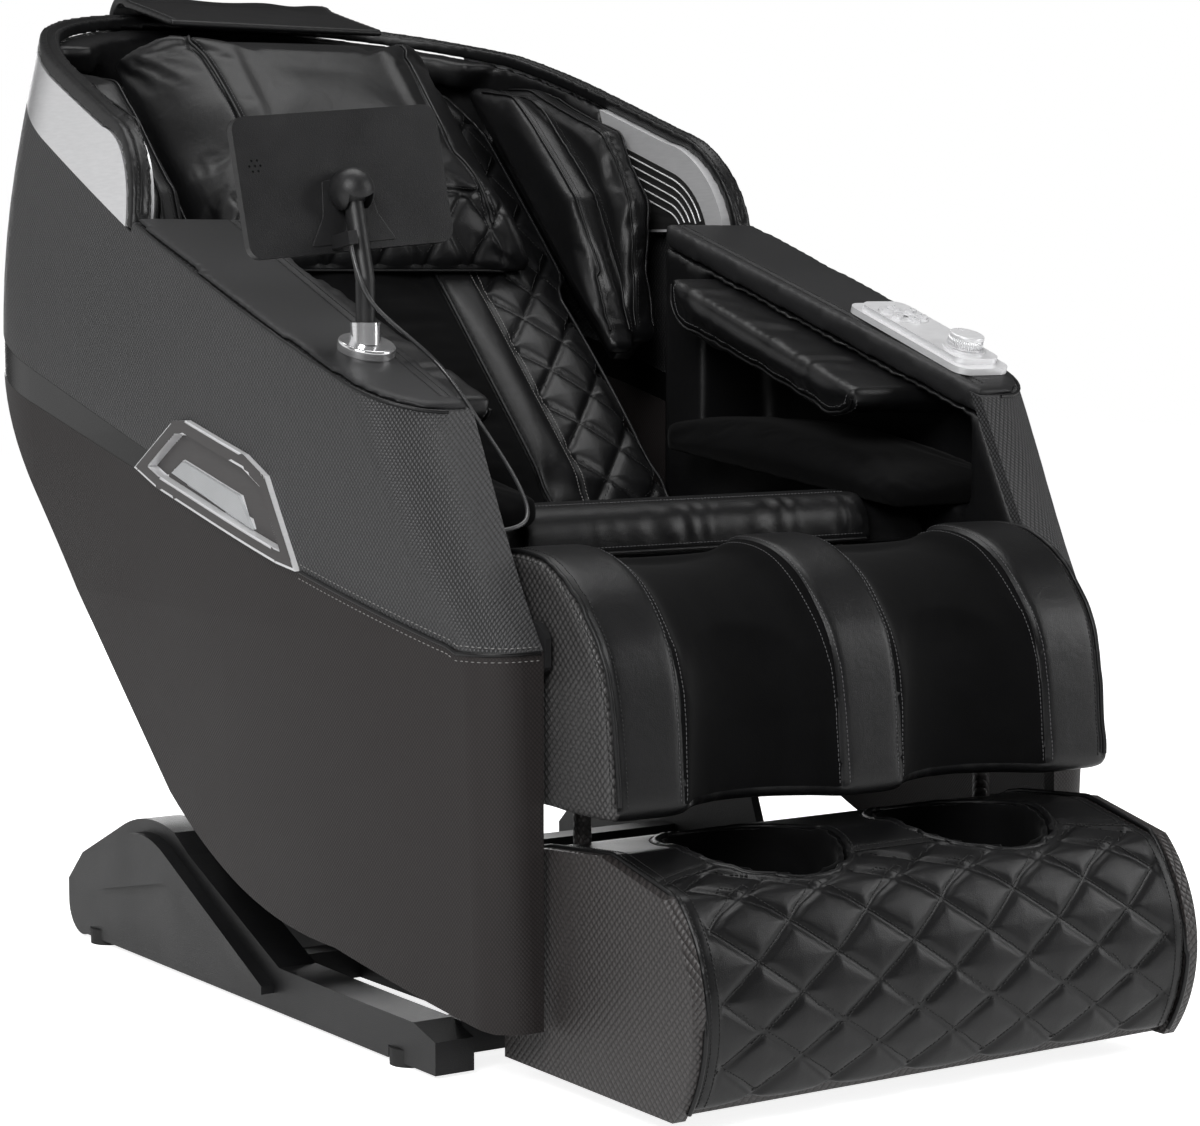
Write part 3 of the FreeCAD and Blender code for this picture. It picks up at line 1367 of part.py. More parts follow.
opening = [(8.5, 0.0), ray(neck - swing), ray(neck + swing), (-12.0, 0.0)]
seat_ball = Part.makeSphere(size["ball_radius"] + slack, V(0, 0, 0))
dome = dome.cut(side_prism(opening, -size["post_radius"] - 3.5, size["post_radius"] + 3.5))
screen = panel_box.fuse(dome).cut(seat_ball)
gland_x, gland_y = -19.0, -17.0
screen = screen.fuse(box(gland_x - 4.6, gland_x + 4.6, gland_y - 6, screen_back + 1, -50, -38))
screen = screen.cut(Part.makeCylinder(size["cable_radius"] + slack, 20, V(gland_x, gland_y, -56)))
add("screen", screen.removeSplitter(), SCREEN)

# Signal cable: hangs from the screen's gland, passes before the post and enters the arm
CABLE = [(-337, -236, 703), (-330, -242, 682), (-312, -243.5, 665), (-289, -245, 647.5), (-267, -253, 627)]
CABLE += [(-258, -276, 602), (-253, -304, 573), (-249, -334, 545), (-249, -362, 521), (-253, -385, 499)]
CABLE += [(-268, -397, 487), (-289.4, -397, 485)]
gland_end = SCREEN.multVec(V(gland_x, gland_y, -44))
gland_low = SCREEN.multVec(V(gland_x, gland_y, -58))
run = [gland_end, gland_low] + [V(*point) for point in CABLE]


def rounded_run(points, share=0.45):
    """Straight runs joined by tangent arcs; prints the smallest bend radius."""
    edges, here, tightest = [], points[0], FAR
    for before, corner, after in zip(points, points[1:], points[2:]):
        back, ahead = before - corner, after - corner
        half_turn = (math.pi - back.getAngle(ahead)) / 2
        cut = share * min(back.Length, ahead.Length)
        radius = cut / math.tan(half_turn)
        tightest = min(tightest, radius)
        back.normalize()
        ahead.normalize()
        start, end = corner + back * cut, corner + ahead * cut
        inward = back + ahead
        inward.normalize()
        middle = corner + inward * (radius / math.cos(half_turn) - radius)
        edges += [Part.LineSegment(here, start).toShape(), Part.Arc(start, middle, end).toShape()]
        here = end
    edges.append(Part.LineSegment(here, points[-1]).toShape())
    print(f"tightest bend of the cable: {tightest:.1f} mm")
    return Part.Wire(edges)


spine = rounded_run(run)
section = Part.Wire([Part.Circle(run[0], run[1] - run[0], size["cable_radius"]).toShape()])
add("screen_cable", spine.makePipeShell([section], True, True))

# Control panel on the left arm: stepped plate, ring of keys at the rear and a knob at the front


def slab_plate(width, length, corner, low_z, high_z, y=0.0):
    """Round-cornered plate lying flat in the arm's own frame."""
    body = box(-width / 2, width / 2, y - length / 2, y + length / 2, low_z, high_z)
    return body.makeFillet(corner, [e for e in body.Edges if e.BoundBox.ZLength > high_z - low_z - 0.1])


ARM = on_arm(size["panel_x"], -size["panel_reach"])
tier_low = size["panel_base"]
tier_high = tier_low + size["panel_tier"]
ring_y, knob_y = size["ring_offset"], -size["knob_offset"]
console = slab_plate(size["panel_width"], size["panel_length"], 16.0, GAP, tier_low)
console = console.fuse(slab_plate(size["panel_width"] - 12, size["panel_length"] - 24, 14.0, tier_low - 1, tier_high))
ring_radius = size["ring_radius"]
console = console.cut(Part.makeCylinder(ring_radius + slack, 10, V(0, ring_y, tier_high - 4)))
console = console.fuse(Part.makeCylinder(size["knob_radius"] + 4, 3, V(0, knob_y, tier_high - 1)))
stud = size["knob_stud_radius"]
console = console.fuse(Part.makeCylinder(stud, 10, V(0, knob_y, tier_high)))
add("control_panel", console.removeSplitter(), ARM)
knob_low = tier_high + 2 + GAP
dial = Part.makeCylinder(size["knob_radius"], size["knob_height"], V(0, knob_y, knob_low))
dial = dial.makeFillet(1.5, [e for e in dial.Edges if e.BoundBox.ZMin > knob_low + size["knob_height"] - 0.1])
dial = dial.cut(Part.makeCylinder(stud + slack, tier_high + 10 + GAP - knob_low, V(0, knob_y, knob_low)))
grip_mark = box(-1.2, 1.2, knob_y + 8, knob_y + size["knob_radius"] + 1, knob_low + size["knob_height"] - 1.2, knob_low + size["knob_height"] + 1)
add("panel_knob", dial.cut(grip_mark), ARM)
keys = Part.makeCylinder(ring_radius, 3, V(0, ring_y, tier_high - 2.8)).cut(Part.makeCylinder(9, 10, V(0, ring_y, tier_high - 5)))
for i in range(6):
    cap = slab_plate(9, 12, 2.0, tier_high - 1, tier_high + 3.2, ring_y + 17.5)
    cap.rotate(V(0, ring_y, 0), V(0, 0, 1), 60 * i)
    keys = keys.fuse(cap)
add("key_ring", keys.removeSplitter(), ARM)


def check_and_write():
    """Stops on any failed object or bad shape, then writes one file for each sub-part."""
    doc.recompute()
    failed = [o.Label for o in doc.Objects if "Invalid" in o.State or "Error" in o.State]
    bad = [o.Label for o in written if o.Shape.isNull() or not o.Shape.isValid()]
    if failed or bad:
        raise SystemExit(f"failed objects {failed}, bad shapes {bad}")
    os.makedirs("parts", exist_ok=True)
    for node in written:
        node.Shape.exportStep(os.path.join("parts", f"{node.Label}.step"))
    print(f"wrote {len(written)} sub-parts")


check_and_write()
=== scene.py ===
import math

import bmesh
import bpy
from mathutils import Matrix, Vector, kdtree, noise
from mathutils.bvhtree import BVHTree


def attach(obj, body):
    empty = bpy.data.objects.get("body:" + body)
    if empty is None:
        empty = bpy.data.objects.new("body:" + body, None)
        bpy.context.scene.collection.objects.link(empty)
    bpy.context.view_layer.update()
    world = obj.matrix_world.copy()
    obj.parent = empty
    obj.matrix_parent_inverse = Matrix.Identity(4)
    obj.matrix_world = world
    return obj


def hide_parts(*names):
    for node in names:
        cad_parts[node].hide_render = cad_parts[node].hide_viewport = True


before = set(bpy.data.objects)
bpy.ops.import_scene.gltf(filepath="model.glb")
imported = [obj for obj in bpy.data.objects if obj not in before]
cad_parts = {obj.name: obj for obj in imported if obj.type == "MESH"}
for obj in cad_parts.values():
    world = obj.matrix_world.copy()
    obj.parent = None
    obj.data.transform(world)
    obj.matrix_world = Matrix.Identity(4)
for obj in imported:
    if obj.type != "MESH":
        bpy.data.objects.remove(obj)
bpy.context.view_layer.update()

scene = bpy.context.scene

# Camera: stands at the sitter's right front corner, just above arm height, and looks a little
# down with a long lens.
camera = bpy.data.objects.new("camera", bpy.data.cameras.new("camera"))
scene.collection.objects.link(camera)
scene.camera = camera
camera.data.lens = 94.93
camera.data.sensor_width = 36.0
camera.data.clip_end = 40.0
camera.location = (-1.739, -2.6977, 0.7029)
camera.rotation_euler = (math.radians(90 - 5.167), 0.0, math.radians(-34.0))
scene.view_settings.view_transform = "Standard"

# Screen cable: a slim black rubber lead that leaves the gland under the screen, hangs past the
# post and goes into the inner face of the arm. Its route is the same as the solid's.
ROUTE = [
    (-0.3403, -0.2260, 0.7373), (-0.3391, -0.2279, 0.7235), (-0.337, -0.236, 0.703),
    (-0.330, -0.242, 0.682), (-0.312, -0.2435, 0.665), (-0.289, -0.245, 0.6475),
    (-0.267, -0.253, 0.627), (-0.258, -0.276, 0.602), (-0.253, -0.304, 0.573),
    (-0.249, -0.334, 0.545), (-0.249, -0.362, 0.521), (-0.253, -0.385, 0.499),
    (-0.268, -0.397, 0.487), (-0.2894, -0.397, 0.485),
]
LEAD_WIDTH = 0.004


def step(tree, kind, feeds=(), **settings):
    """Adds a shader node. Feeds are its inputs, as plain values or as sockets of other nodes."""
    made = tree.nodes.new("ShaderNode" + kind)
    for key, value in settings.items():
        setattr(made, key, value)
    for key, value in dict(feeds).items():
        if isinstance(value, bpy.types.NodeSocket):
            tree.links.new(value, made.inputs[key])
        else:
            made.inputs[key].default_value = value
    return made


def sums(tree, operation, first, second=0.0):
    """One Math node on one or two values; returns its result."""
    return step(tree, "Math", {0: first, 1: second}, operation=operation).outputs[0]


def scaled(tree, value, gain, base):
    """A value times a gain, plus a base."""
    return step(tree, "Math", {0: value, 1: gain, 2: base}, operation="MULTIPLY_ADD").outputs[0]


def clouds(tree, place, scale, detail, distortion=0.0):
    """Soft noise over the object, from 0 to 1."""
    feeds = {"Vector": place, "Scale": scale, "Detail": detail, "Distortion": distortion}
    return step(tree, "TexNoise", feeds).outputs["Fac"]


def toned(tree, given, value):
    """The effect's tint, made lighter or darker."""
    return step(tree, "HueSaturation", {"Color": given["Tint"], "Value": value}).outputs[0]


def effect(name, inputs):
    """Node group with named inputs; returns its tree, its inputs and the object's coordinates."""
    tree = bpy.data.node_groups.new(name, "ShaderNodeTree")
    for label, value in inputs.items():
        kind = "NodeSocketColor" if isinstance(value, tuple) else "NodeSocketFloat"
        tree.interface.new_socket(label, in_out="INPUT", socket_type=kind).default_value = value
    given = tree.nodes.new("NodeGroupInput").outputs
    return tree, given, step(tree, "TexCoord").outputs["Object"]


def results(tree, colour, roughness, height):
    """Gives an effect its three named outputs."""
    for label, kind in (("Colour", "Color"), ("Roughness", "Float"), ("Height", "Float")):
        tree.interface.new_socket(label, in_out="OUTPUT", socket_type="NodeSocket" + kind)
    ends = tree.nodes.new("NodeGroupOutput").inputs
    for end, socket in zip(ends, (colour, roughness, height)):
        tree.links.new(socket, end)


def finish(name, group, values, bump=0.0004, strength=0.6, **sockets):
    """Material whose colour, roughness and relief come from one placed effect."""
    material = bpy.data.materials.new(name)
    material.use_nodes = True
    tree = material.node_tree
    shader = tree.nodes["Principled BSDF"]
    for label, value in sockets.items():
        shader.inputs[label.replace("_", " ")].default_value = value
    placed = tree.nodes.new("ShaderNodeGroup")
    placed.node_tree = group
    for label, value in values.items():
        placed.inputs[label].default_value = value
    relief = {"Height": placed.outputs["Height"], "Strength": strength, "Distance": bump}
    tree.links.new(step(tree, "Bump", relief).outputs[0], shader.inputs["Normal"])
    tree.links.new(placed.outputs["Colour"], shader.inputs["Base Color"])
    tree.links.new(placed.outputs["Roughness"], shader.inputs["Roughness"])
    return material


def mounted(name, data, body):
    """Puts a finished mesh or curve on the chair, where it rides on a body."""
    piece = bpy.data.objects.new(name, data)
    scene.collection.objects.link(piece)
    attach(piece, body)
    return piece


# Fine pebble that moulded plastic and rubber take from their tool, with a few dull patches
moulded, given, place = effect(
    "moulded_grain", {"Tint": (0.02, 0.02, 0.02, 1), "Grain": 900.0, "Dull": 0.45}
)
pebble = step(moulded, "TexVoronoi", {"Vector": place, "Scale": given["Grain"]}).outputs["Distance"]
patch = clouds(moulded, place, 14.0, 5.0)
dusty = sums(moulded, "MULTIPLY", patch, clouds(moulded, place, 60.0, 8.0))
results(
    moulded,
    toned(moulded, given, scaled(moulded, dusty, 1.3, 0.68)),
    scaled(moulded, patch, 0.22, sums(moulded, "SUBTRACT", given["Dull"], 0.11)),
    pebble,
)

rubber = finish(
    "lead_rubber",
    moulded,
    {"Tint": (0.022, 0.022, 0.023, 1), "Grain": 1600.0, "Dull": 0.3},
    bump=0.0001,
    Specular_IOR_Level=0.7,
)
lead = bpy.data.curves.new("screen_lead", "CURVE")
lead.dimensions = "3D"
lead.bevel_depth = LEAD_WIDTH / 2
lead.bevel_resolution = 3
lead.resolution_u = 10
line = lead.splines.new("NURBS")
line.points.add(len(ROUTE) - 1)
for point, at in zip(line.points, ROUTE):
    point.co = (*at, 1.0)
line.order_u = 3
line.use_endpoint_u = True
lead.materials.append(rubber)
screen_lead = mounted("screen_lead", lead, "cabin")
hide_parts("screen_cable")

# Base: a welded tube frame in black powder coat on the floor, with zinc slide parts. Two moulded
# skids cover it at the sides, and stand on rubber feet.
satin_black = finish(
    "skid_plastic",
    moulded,
    {"Tint": (0.007, 0.007, 0.0075, 1), "Grain": 1100.0, "Dull": 0.38},
    bump=0.0003,
    Specular_IOR_Level=0.3,
)
foot_rubber = finish(
    "foot_rubber", moulded, {"Tint": (0.015, 0.015, 0.015, 1), "Grain": 500.0, "Dull": 0.8}
)
powder = finish(
    "powder_coat",
    moulded,
    {"Tint": (0.009, 0.009, 0.0095, 1), "Grain": 420.0, "Dull": 0.5},
    bump=0.0002,
    Specular_IOR_Level=0.3,
)
case_plastic = finish(
    "case_plastic", moulded, {"Tint": (0.018, 0.018, 0.018, 1), "Grain": 700.0, "Dull": 0.55}
)


def coat(material, *nodes):
    """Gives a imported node's own mesh a material."""
    for name in nodes:
        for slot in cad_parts[name].material_slots:
            slot.material = material


coat(satin_black, "skid_left", "skid_right")
coat(foot_rubber, "foot_pads")
coat(powder, "base_frame", "carriage", "cabin_frame", "calf_frame", "under_cover")
coat(case_plastic, "power_box", "rocker_switch")

# Side panels: soft covering embossed with rows of small raised dots, stretched over foam. The
# upper panel is greyer and coarser, and the lower one is darker, finer and a little brown.
# Dots: the raised tops get a lighter colour as a painted highlight on each dot, and the hollows between them
# a darker colour as painted shade.
dots, given, place = effect(
    "embossed_dots",
    {"Pitch": 0.0034, "Raised": (0.06, 0.06, 0.062, 1), "Sunk": (0.006, 0.006, 0.006, 1), "Dull": 0.5},
)
xyz = step(dots, "SeparateXYZ", {0: place}).outputs
along = sums(dots, "ADD", xyz["Y"], sums(dots, "ABSOLUTE", xyz["X"]))
turn = sums(dots, "DIVIDE", math.pi / math.sqrt(2.0), given["Pitch"])
rows = []
for operation in ("ADD", "SUBTRACT"):
    slanted = sums(dots, operation, along, xyz["Z"])
    rows.append(sums(dots, "SINE", sums(dots, "MULTIPLY", slanted, turn)))
rise = sums(dots, "POWER", sums(dots, "ABSOLUTE", sums(dots, "MULTIPLY", *rows)), 0.6)
cloudy = clouds(dots, place, 5.0, 6.0)
# Blend of the painted highlight on the dot tops and the painted shade in the hollows, varied at random across
# the panel.
dot_highlight_and_shade = sums(dots, "MULTIPLY", rise, scaled(dots, cloudy, 0.5, 0.7))
mixed = step(dots, "Mix", data_type="RGBA")
for source, end in zip((dot_highlight_and_shade, given["Sunk"], given["Raised"]), (0, 6, 7)):
    dots.links.new(source, mixed.inputs[end])
results(dots, mixed.outputs[2], scaled(dots, cloudy, 0.16, given["Dull"]), rise)

grey_dots = finish(
    "embossed_grey",
    dots,
    {"Dull": 0.34, "Pitch": 0.0038},
    bump=0.0008,
    strength=0.9,
    Specular_IOR_Level=0.35,
)
# The dark panel's lighter dot tops and darker hollows are painted highlight and painted shade as well.
dark_dots = finish(
    "embossed_dark",
    dots,
    {"Pitch": 0.003, "Raised": (0.028, 0.024, 0.0235, 1), "Sunk": (0.006, 0.005, 0.005, 1), "Dull": 0.44},
    Specular_IOR_Level=0.25,
)
coat(grey_dots, "side_panel_upper_left", "side_panel_upper_right")
coat(dark_dots, "side_panel_lower_left", "side_panel_lower_right")

# Hide: smooth black covering with a fine pore grain and soft creases, sewn over foam. It covers
# the arms, the hood's lining, the pillow, the leaves, the seat and the bands of the leg rest.
hide, given, place = effect(
    "hide_grain", {"Tint": (0.016, 0.016, 0.017, 1), "Pore": 620.0, "Dull": 0.34, "Crease": 0.5}
)
feeds = {"Vector": place, "Scale": given["Pore"], "Randomness": 1.0}
pore = step(hide, "TexVoronoi", feeds, feature="DISTANCE_TO_EDGE").outputs["Distance"]
pore = sums(hide, "MINIMUM", sums(hide, "MULTIPLY", pore, 5.0), 1.0)
crease = sums(hide, "MULTIPLY", given["Crease"], 6.0)
crease = sums(hide, "MULTIPLY", clouds(hide, place, 34.0, 5.0, 0.6), crease)
broad = clouds(hide, place, 6.0, 4.0)
results(
    hide,
    toned(hide, given, scaled(hide, broad, 0.9, sums(hide, "MULTIPLY", pore, 0.5))),
    scaled(hide, broad, 0.16, given["Dull"]),
    scaled(hide, pore, 0.25, crease),
)

black_hide = finish(
    "black_hide",
    hide,
    {"Tint": (0.0065, 0.0065, 0.007, 1), "Dull": 0.3},
    strength=0.5,
    Specular_IOR_Level=0.3,
)
arm_hide = finish(
    "arm_hide",
    hide,
    {"Tint": (0.017, 0.017, 0.018, 1), "Dull": 0.42, "Crease": 0.15},
    bump=0.0003,
    strength=0.5,
    Specular_IOR_Level=0.3,
)

# Sewing thread: polyester yarn twisted from fine slanted plies, in a pale grey for the rows that
# show, a darker grey on the hide and black
yarn, given, place = effect("twisted_yarn", {"Tint": (0.3, 0.3, 0.31, 1)})
feeds = {"Vector": place, "Scale": 700.0, "Distortion": 2.0}
ply = step(yarn, "TexWave", feeds, bands_direction="DIAGONAL").outputs["Fac"]
results(yarn, toned(yarn, given, scaled(yarn, ply, 0.5, 0.7)), scaled(yarn, ply, 0.2, 0.5), ply)
seam_thread = finish("seam_thread", yarn, {"Tint": (0.24, 0.235, 0.23, 1)}, bump=0.0001)
pale_thread = finish("pale_thread", yarn, {"Tint": (0.085, 0.085, 0.088, 1)}, bump=0.0001)
dark_thread = finish("dark_thread", yarn, {"Tint": (0.006, 0.006, 0.006, 1)}, bump=0.0001)

# Seam of the side panels: a black welt from the ornament to the nose, with a row of pale thread
# above and below it
LINE_GAP = 0.002
STITCH_LIFT = 0.2


def traced(points, gap):
    """Even points on a smooth line through the given ones."""
    knots = [Vector(point) for point in points]
    knots = [knots[0] * 2 - knots[1], *knots, knots[-1] * 2 - knots[-2]]
    parts = 16
    fine = []
    for a, b, c, d in zip(knots, knots[1:], knots[2:], knots[3:]):
        for part in range(parts):
            u = part / parts
            bend = 2 * a - 5 * b + 4 * c - d + u * (3 * (b - c) + d - a)
            fine.append(b + 0.5 * u * (c - a + u * bend))
    fine.append(knots[-2])
    even, spare = [fine[0]], 0.0
    for start, end in zip(fine, fine[1:]):
        run = (end - start).length
        at = gap - spare
        while at <= run:
            even.append(start.lerp(end, at / run))
            at += gap
        spare = run - (at - gap)
    return even


def skin_tree(piece):
    """Search tree over a piece's faces."""
    points = [vertex.co.copy() for vertex in piece.data.vertices]
    return BVHTree.FromPolygons(points, [face.vertices[:] for face in piece.data.polygons])


def laid(tree, points):
    """Puts a line on a skin; each stop is its place, the outward normal and the way along."""
    even = traced(points, LINE_GAP)
    stops = []
    for before, here, after in zip([even[0]] + even, even, even[1:] + [even[-1]]):
        spot, normal, _, _ = tree.find_nearest(here)
        stops.append((spot, normal, (after - before).normalized()))
    return stops


def across_chair(run):
    """The same line on the other side of the chair."""
    flip = Vector((-1, 1, 1))
    return [(spot * flip, normal * flip, way * flip) for spot, normal, way in run]


def meshed(name, shape, *materials):
    """Turns a bmesh into a mesh with its materials."""
    mesh = bpy.data.meshes.new(name)
    shape.to_mesh(mesh)
    shape.free()
    for material in materials:
        mesh.materials.append(material)
    return mesh


def stitched(name, tree, runs, rows, thread, body, pitch=0.005, long=0.0036, thick=0.0011):
    """Rows of separate thread stitches along lines on a skin, each row this far to one side."""
    seed = bmesh.new()
    bmesh.ops.create_icosphere(seed, subdivisions=1, radius=0.5)
    stitch = bpy.data.meshes.new("one_stitch")
    size = Matrix.Diagonal((long, thick, thick, 1.0))
    shape = bmesh.new()
    for run in runs:
        for row in rows:
            for spot, normal, way in run[:: max(1, round(pitch / LINE_GAP))]:
                spot, out, _, _ = tree.find_nearest(spot + normal.cross(way).normalized() * row)
                way = (way - out * way.dot(out)).normalized()
                turned = Matrix((way, out.cross(way), out)).transposed().to_4x4()
                seed.to_mesh(stitch)
                stitch.transform(Matrix.Translation(spot + out * thick * STITCH_LIFT) @ turned @ size)
                shape.from_mesh(stitch)
    seed.free()
    mesh = meshed(name, shape, thread)
    mesh.shade_smooth()
    return mounted(name, mesh, body)


def piped(name, runs, radius, material, body, lift=0.0):
    """Round piping or a welt sewn along lines."""
    cover = bpy.data.curves.new(name, "CURVE")
    cover.dimensions = "3D"
    cover.bevel_depth = radius
    cover.bevel_resolution = 2
    cover.use_fill_caps = True
    for run in runs:
        kept = run[::2]
        line = cover.splines.new("POLY")
        line.points.add(len(kept) - 1)
        for point, (spot, normal, _) in zip(line.points, kept):
            point.co = (*(spot + normal * lift), 1.0)
        line.use_smooth = True
    cover.materials.append(material)
    return mounted(name, cover, body)


def twin(piece, name, body, node=None):
    """The same mesh for the chair's other side; it stands for a node where one is named."""
    mesh = piece.data.copy()
    mesh.transform(Matrix.Scale(-1, 4, (1, 0, 0)))
    mesh.flip_normals()
    other = mounted(name, mesh, body)
    if node:
        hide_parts(node)
    return other


def from_side(y, z):
    """Ray that comes in square to the chair's left side."""
    return Vector((0.6, y, z)), Vector((-1, 0, 0))


def from_nose(x, y, share, height):
    """Ray to a nose's middle, from the side at share 0 round to the front at share 1."""
    angle = -math.pi / 2 * share
    ahead = Vector((math.cos(angle), math.sin(angle), 0))
    return Vector((x, y, height(ahead.y))) + ahead * 0.3, -ahead


def struck(tree, rays):
    """Where rays meet a skin, without those that miss."""
    hits = [tree.ray_cast(start, way)[0] for start, way in rays]
    return [hit for hit in hits if hit is not None]


SEAM_REAR_Y, SEAM_REAR_Z = 0.560, 0.620
SEAM_SLOPE = math.tan(math.radians(13.2))
SEAM_FRONT_Z = 0.387
WELT_DROP = 0.001
NOSE_X, NOSE_Y = 0.312, -0.424


def panel_seam(y):
    """Height of the seam at this y; it runs level at the front."""
    return max(SEAM_FRONT_Z, SEAM_REAR_Z - (SEAM_REAR_Y - y) * SEAM_SLOPE)


def panel_shell():
    """Search tree over both left side panels together."""
    points, faces = [], []
    for name in ("side_panel_lower_left", "side_panel_upper_left"):
        first = len(points)
        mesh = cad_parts[name].data
        points += [vertex.co.copy() for vertex in mesh.vertices]
        faces += [[first + corner for corner in face.vertices] for face in mesh.polygons]
    return BVHTree.FromPolygons(points, faces)


shell = panel_shell()
level = SEAM_FRONT_Z - WELT_DROP
stations = [-0.206 - 0.019 * number for number in range(12)]
rays = [from_side(y, panel_seam(y) - WELT_DROP) for y in stations]
rays += [from_nose(NOSE_X, NOSE_Y, number / 8, lambda ahead: level) for number in range(9)]
rays.append((Vector((0.2925, -0.7, level)), Vector((0, 1, 0))))
seam = laid(shell, struck(shell, rays))
piped("panel_welt", [seam, across_chair(seam)], 0.0019, black_hide, "cabin", lift=0.0004)
thread = stitched(
    "panel_thread_left",
    shell,
    [seam],
    (-0.0065, 0.0065),
    seam_thread,
    "cabin",
    pitch=0.006,
    long=0.0042,
    thick=0.001,
)
twin(thread, "panel_thread_right", "cabin")

# Gloss strip, ornament and its lens: a black lacquered strip, a satin silver bezel cast in one
# piece with its stepped bed, and a milky lens with fine ribs that lets the side light through.
smear, given, place = effect(
    "handled_gloss", {"Tint": (0.004, 0.004, 0.004, 1), "Dull": 0.07, "Smears": 0.12}
)
wipe = clouds(smear, place, 9.0, 7.0, 1.2)
results(
    smear,
    toned(smear, given, scaled(smear, wipe, 0.5, 0.75)),
    scaled(smear, sums(smear, "POWER", wipe, 2.0), given["Smears"], given["Dull"]),
    clouds(smear, place, 160.0, 2.0),
)

brushed, given, place = effect("satin_metal", {"Tint": (0.5, 0.5, 0.51, 1), "Dull": 0.3, "Lines": 420.0})
drawn = step(brushed, "Mapping", {"Vector": place, "Scale": (0.12, 0.12, 1.0)}).outputs[0]
lines = clouds(brushed, drawn, given["Lines"], 4.0)
results(
    brushed,
    toned(brushed, given, scaled(brushed, lines, 0.2, 0.9)),
    scaled(brushed, clouds(brushed, place, 11.0, 4.0), 0.14, given["Dull"]),
    lines,
)

lacquer = finish(
    "lacquer_black",
    smear,
    {"Dull": 0.16},
    bump=0.00005,
    Specular_IOR_Level=0.2,
    Coat_Weight=0.12,
    Coat_Roughness=0.03,
)


def metal(name, tint, dull, metallic, bump=0.00002, strength=0.25, lines=420.0):
    """Satin metal or metallic paint of one tint."""
    values = {"Tint": (*tint, 1), "Dull": dull, "Lines": lines}
    return finish(name, brushed, values, bump=bump, strength=strength, Metallic=metallic)


silver = metal("satin_silver", (0.74, 0.74, 0.75), 0.24, 0.75)
plate_silver = metal("plate_silver", (0.72, 0.72, 0.73), 0.26, 0.3)
bright = metal("bright_plate", (0.8, 0.8, 0.81), 0.1, 0.9, bump=0.00001, strength=0.2, lines=700.0)
zinc = metal("zinc_plate", (0.42, 0.43, 0.45), 0.36, 0.9, bump=0.00004, strength=0.6)
coat(lacquer, "gloss_strip_left", "gloss_strip_right", "rear_cover")
coat(silver, "wing_panel_left", "wing_panel_right")
coat(plate_silver, "ornament_frame_left", "ornament_frame_right")
coat(plate_silver, "speaker_plate_left", "speaker_plate_right")

ribbed, given, place = effect("ribbed_lens", {"Tint": (0.62, 0.63, 0.64, 1), "Rib": 0.0016, "Dull": 0.25})
xyz = step(ribbed, "SeparateXYZ", {0: place}).outputs
slant = scaled(ribbed, xyz["Y"], 0.55, xyz["Z"])
turn = sums(ribbed, "DIVIDE", 2 * math.pi, given["Rib"])
rib = sums(ribbed, "SINE", sums(ribbed, "MULTIPLY", slant, turn))
haze = clouds(ribbed, place, 18.0, 3.0)
results(
    ribbed,
    toned(ribbed, given, scaled(ribbed, rib, 0.05, scaled(ribbed, haze, 0.3, 0.8))),
    scaled(ribbed, haze, 0.2, given["Dull"]),
    rib,
)
milky = finish(
    "milky_lens",
    ribbed,
    {"Tint": (0.42, 0.43, 0.44, 1)},
    bump=0.0002,
    strength=0.3,
    Coat_Weight=0.6,
    Coat_Roughness=0.1,
)
coat(milky, "ornament_lens_left", "ornament_lens_right")

# Bed of the ornament: painted shade for the sunken recess between the bezel and the lens, a dark sheet cut to
# the bezel's outline less the width of its rim and laid on the cast metal as a thin coat
BEZEL = [(0.109, 0.518), (0.022, 0.567), (-0.005, 0.568), (-0.120, 0.541)]
BEZEL += [(-0.157, 0.523), (-0.205, 0.440), (-0.173, 0.445), (0.062, 0.501)]
BEZEL_RIM = 0.0134
SHADE_LIFT = Vector((0.0005, 0, 0))


def facing(shape, outward):
    """Makes an open sheet face one way along x."""
    bmesh.ops.recalc_face_normals(shape, faces=shape.faces)
    if sum(face.normal.x for face in shape.faces) * outward < 0:
        bmesh.ops.reverse_faces(shape, faces=shape.faces)


# Dark coat that stands in for the shade in the sunken bed.
bed_painted_shade = metal("bed_painted_shade", (0.07, 0.066, 0.066), 0.36, 0.5)
bezel = skin_tree(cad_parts["ornament_frame_left"])
shape = bmesh.new()
outline = shape.faces.new([shape.verts.new((0.6, y, z)) for y, z in BEZEL])
bmesh.ops.inset_region(shape, faces=[outline], thickness=BEZEL_RIM, use_even_offset=True, use_boundary=True)
bmesh.ops.delete(shape, geom=[face for face in shape.faces if face is not outline], context="FACES")
bmesh.ops.triangulate(shape, faces=shape.faces)
bmesh.ops.subdivide_edges(shape, edges=shape.edges, cuts=30, use_grid_fill=True)
missed = []
for vertex in shape.verts:
    spot = bezel.ray_cast(vertex.co, Vector((-1, 0, 0)))[0]
    if spot is None:
        missed.append(vertex)
    else:
        vertex.co = spot + SHADE_LIFT
bmesh.ops.delete(shape, geom=missed, context="VERTS")
bmesh.ops.delete(shape, geom=[face for face in shape.faces if abs(face.normal.x) < 0.9], context="FACES")
facing(shape, 1)
bed = mounted("ornament_bed_left", meshed("ornament_bed_left", shape, bed_painted_shade), "cabin")
twin(bed, "ornament_bed_right", "cabin")


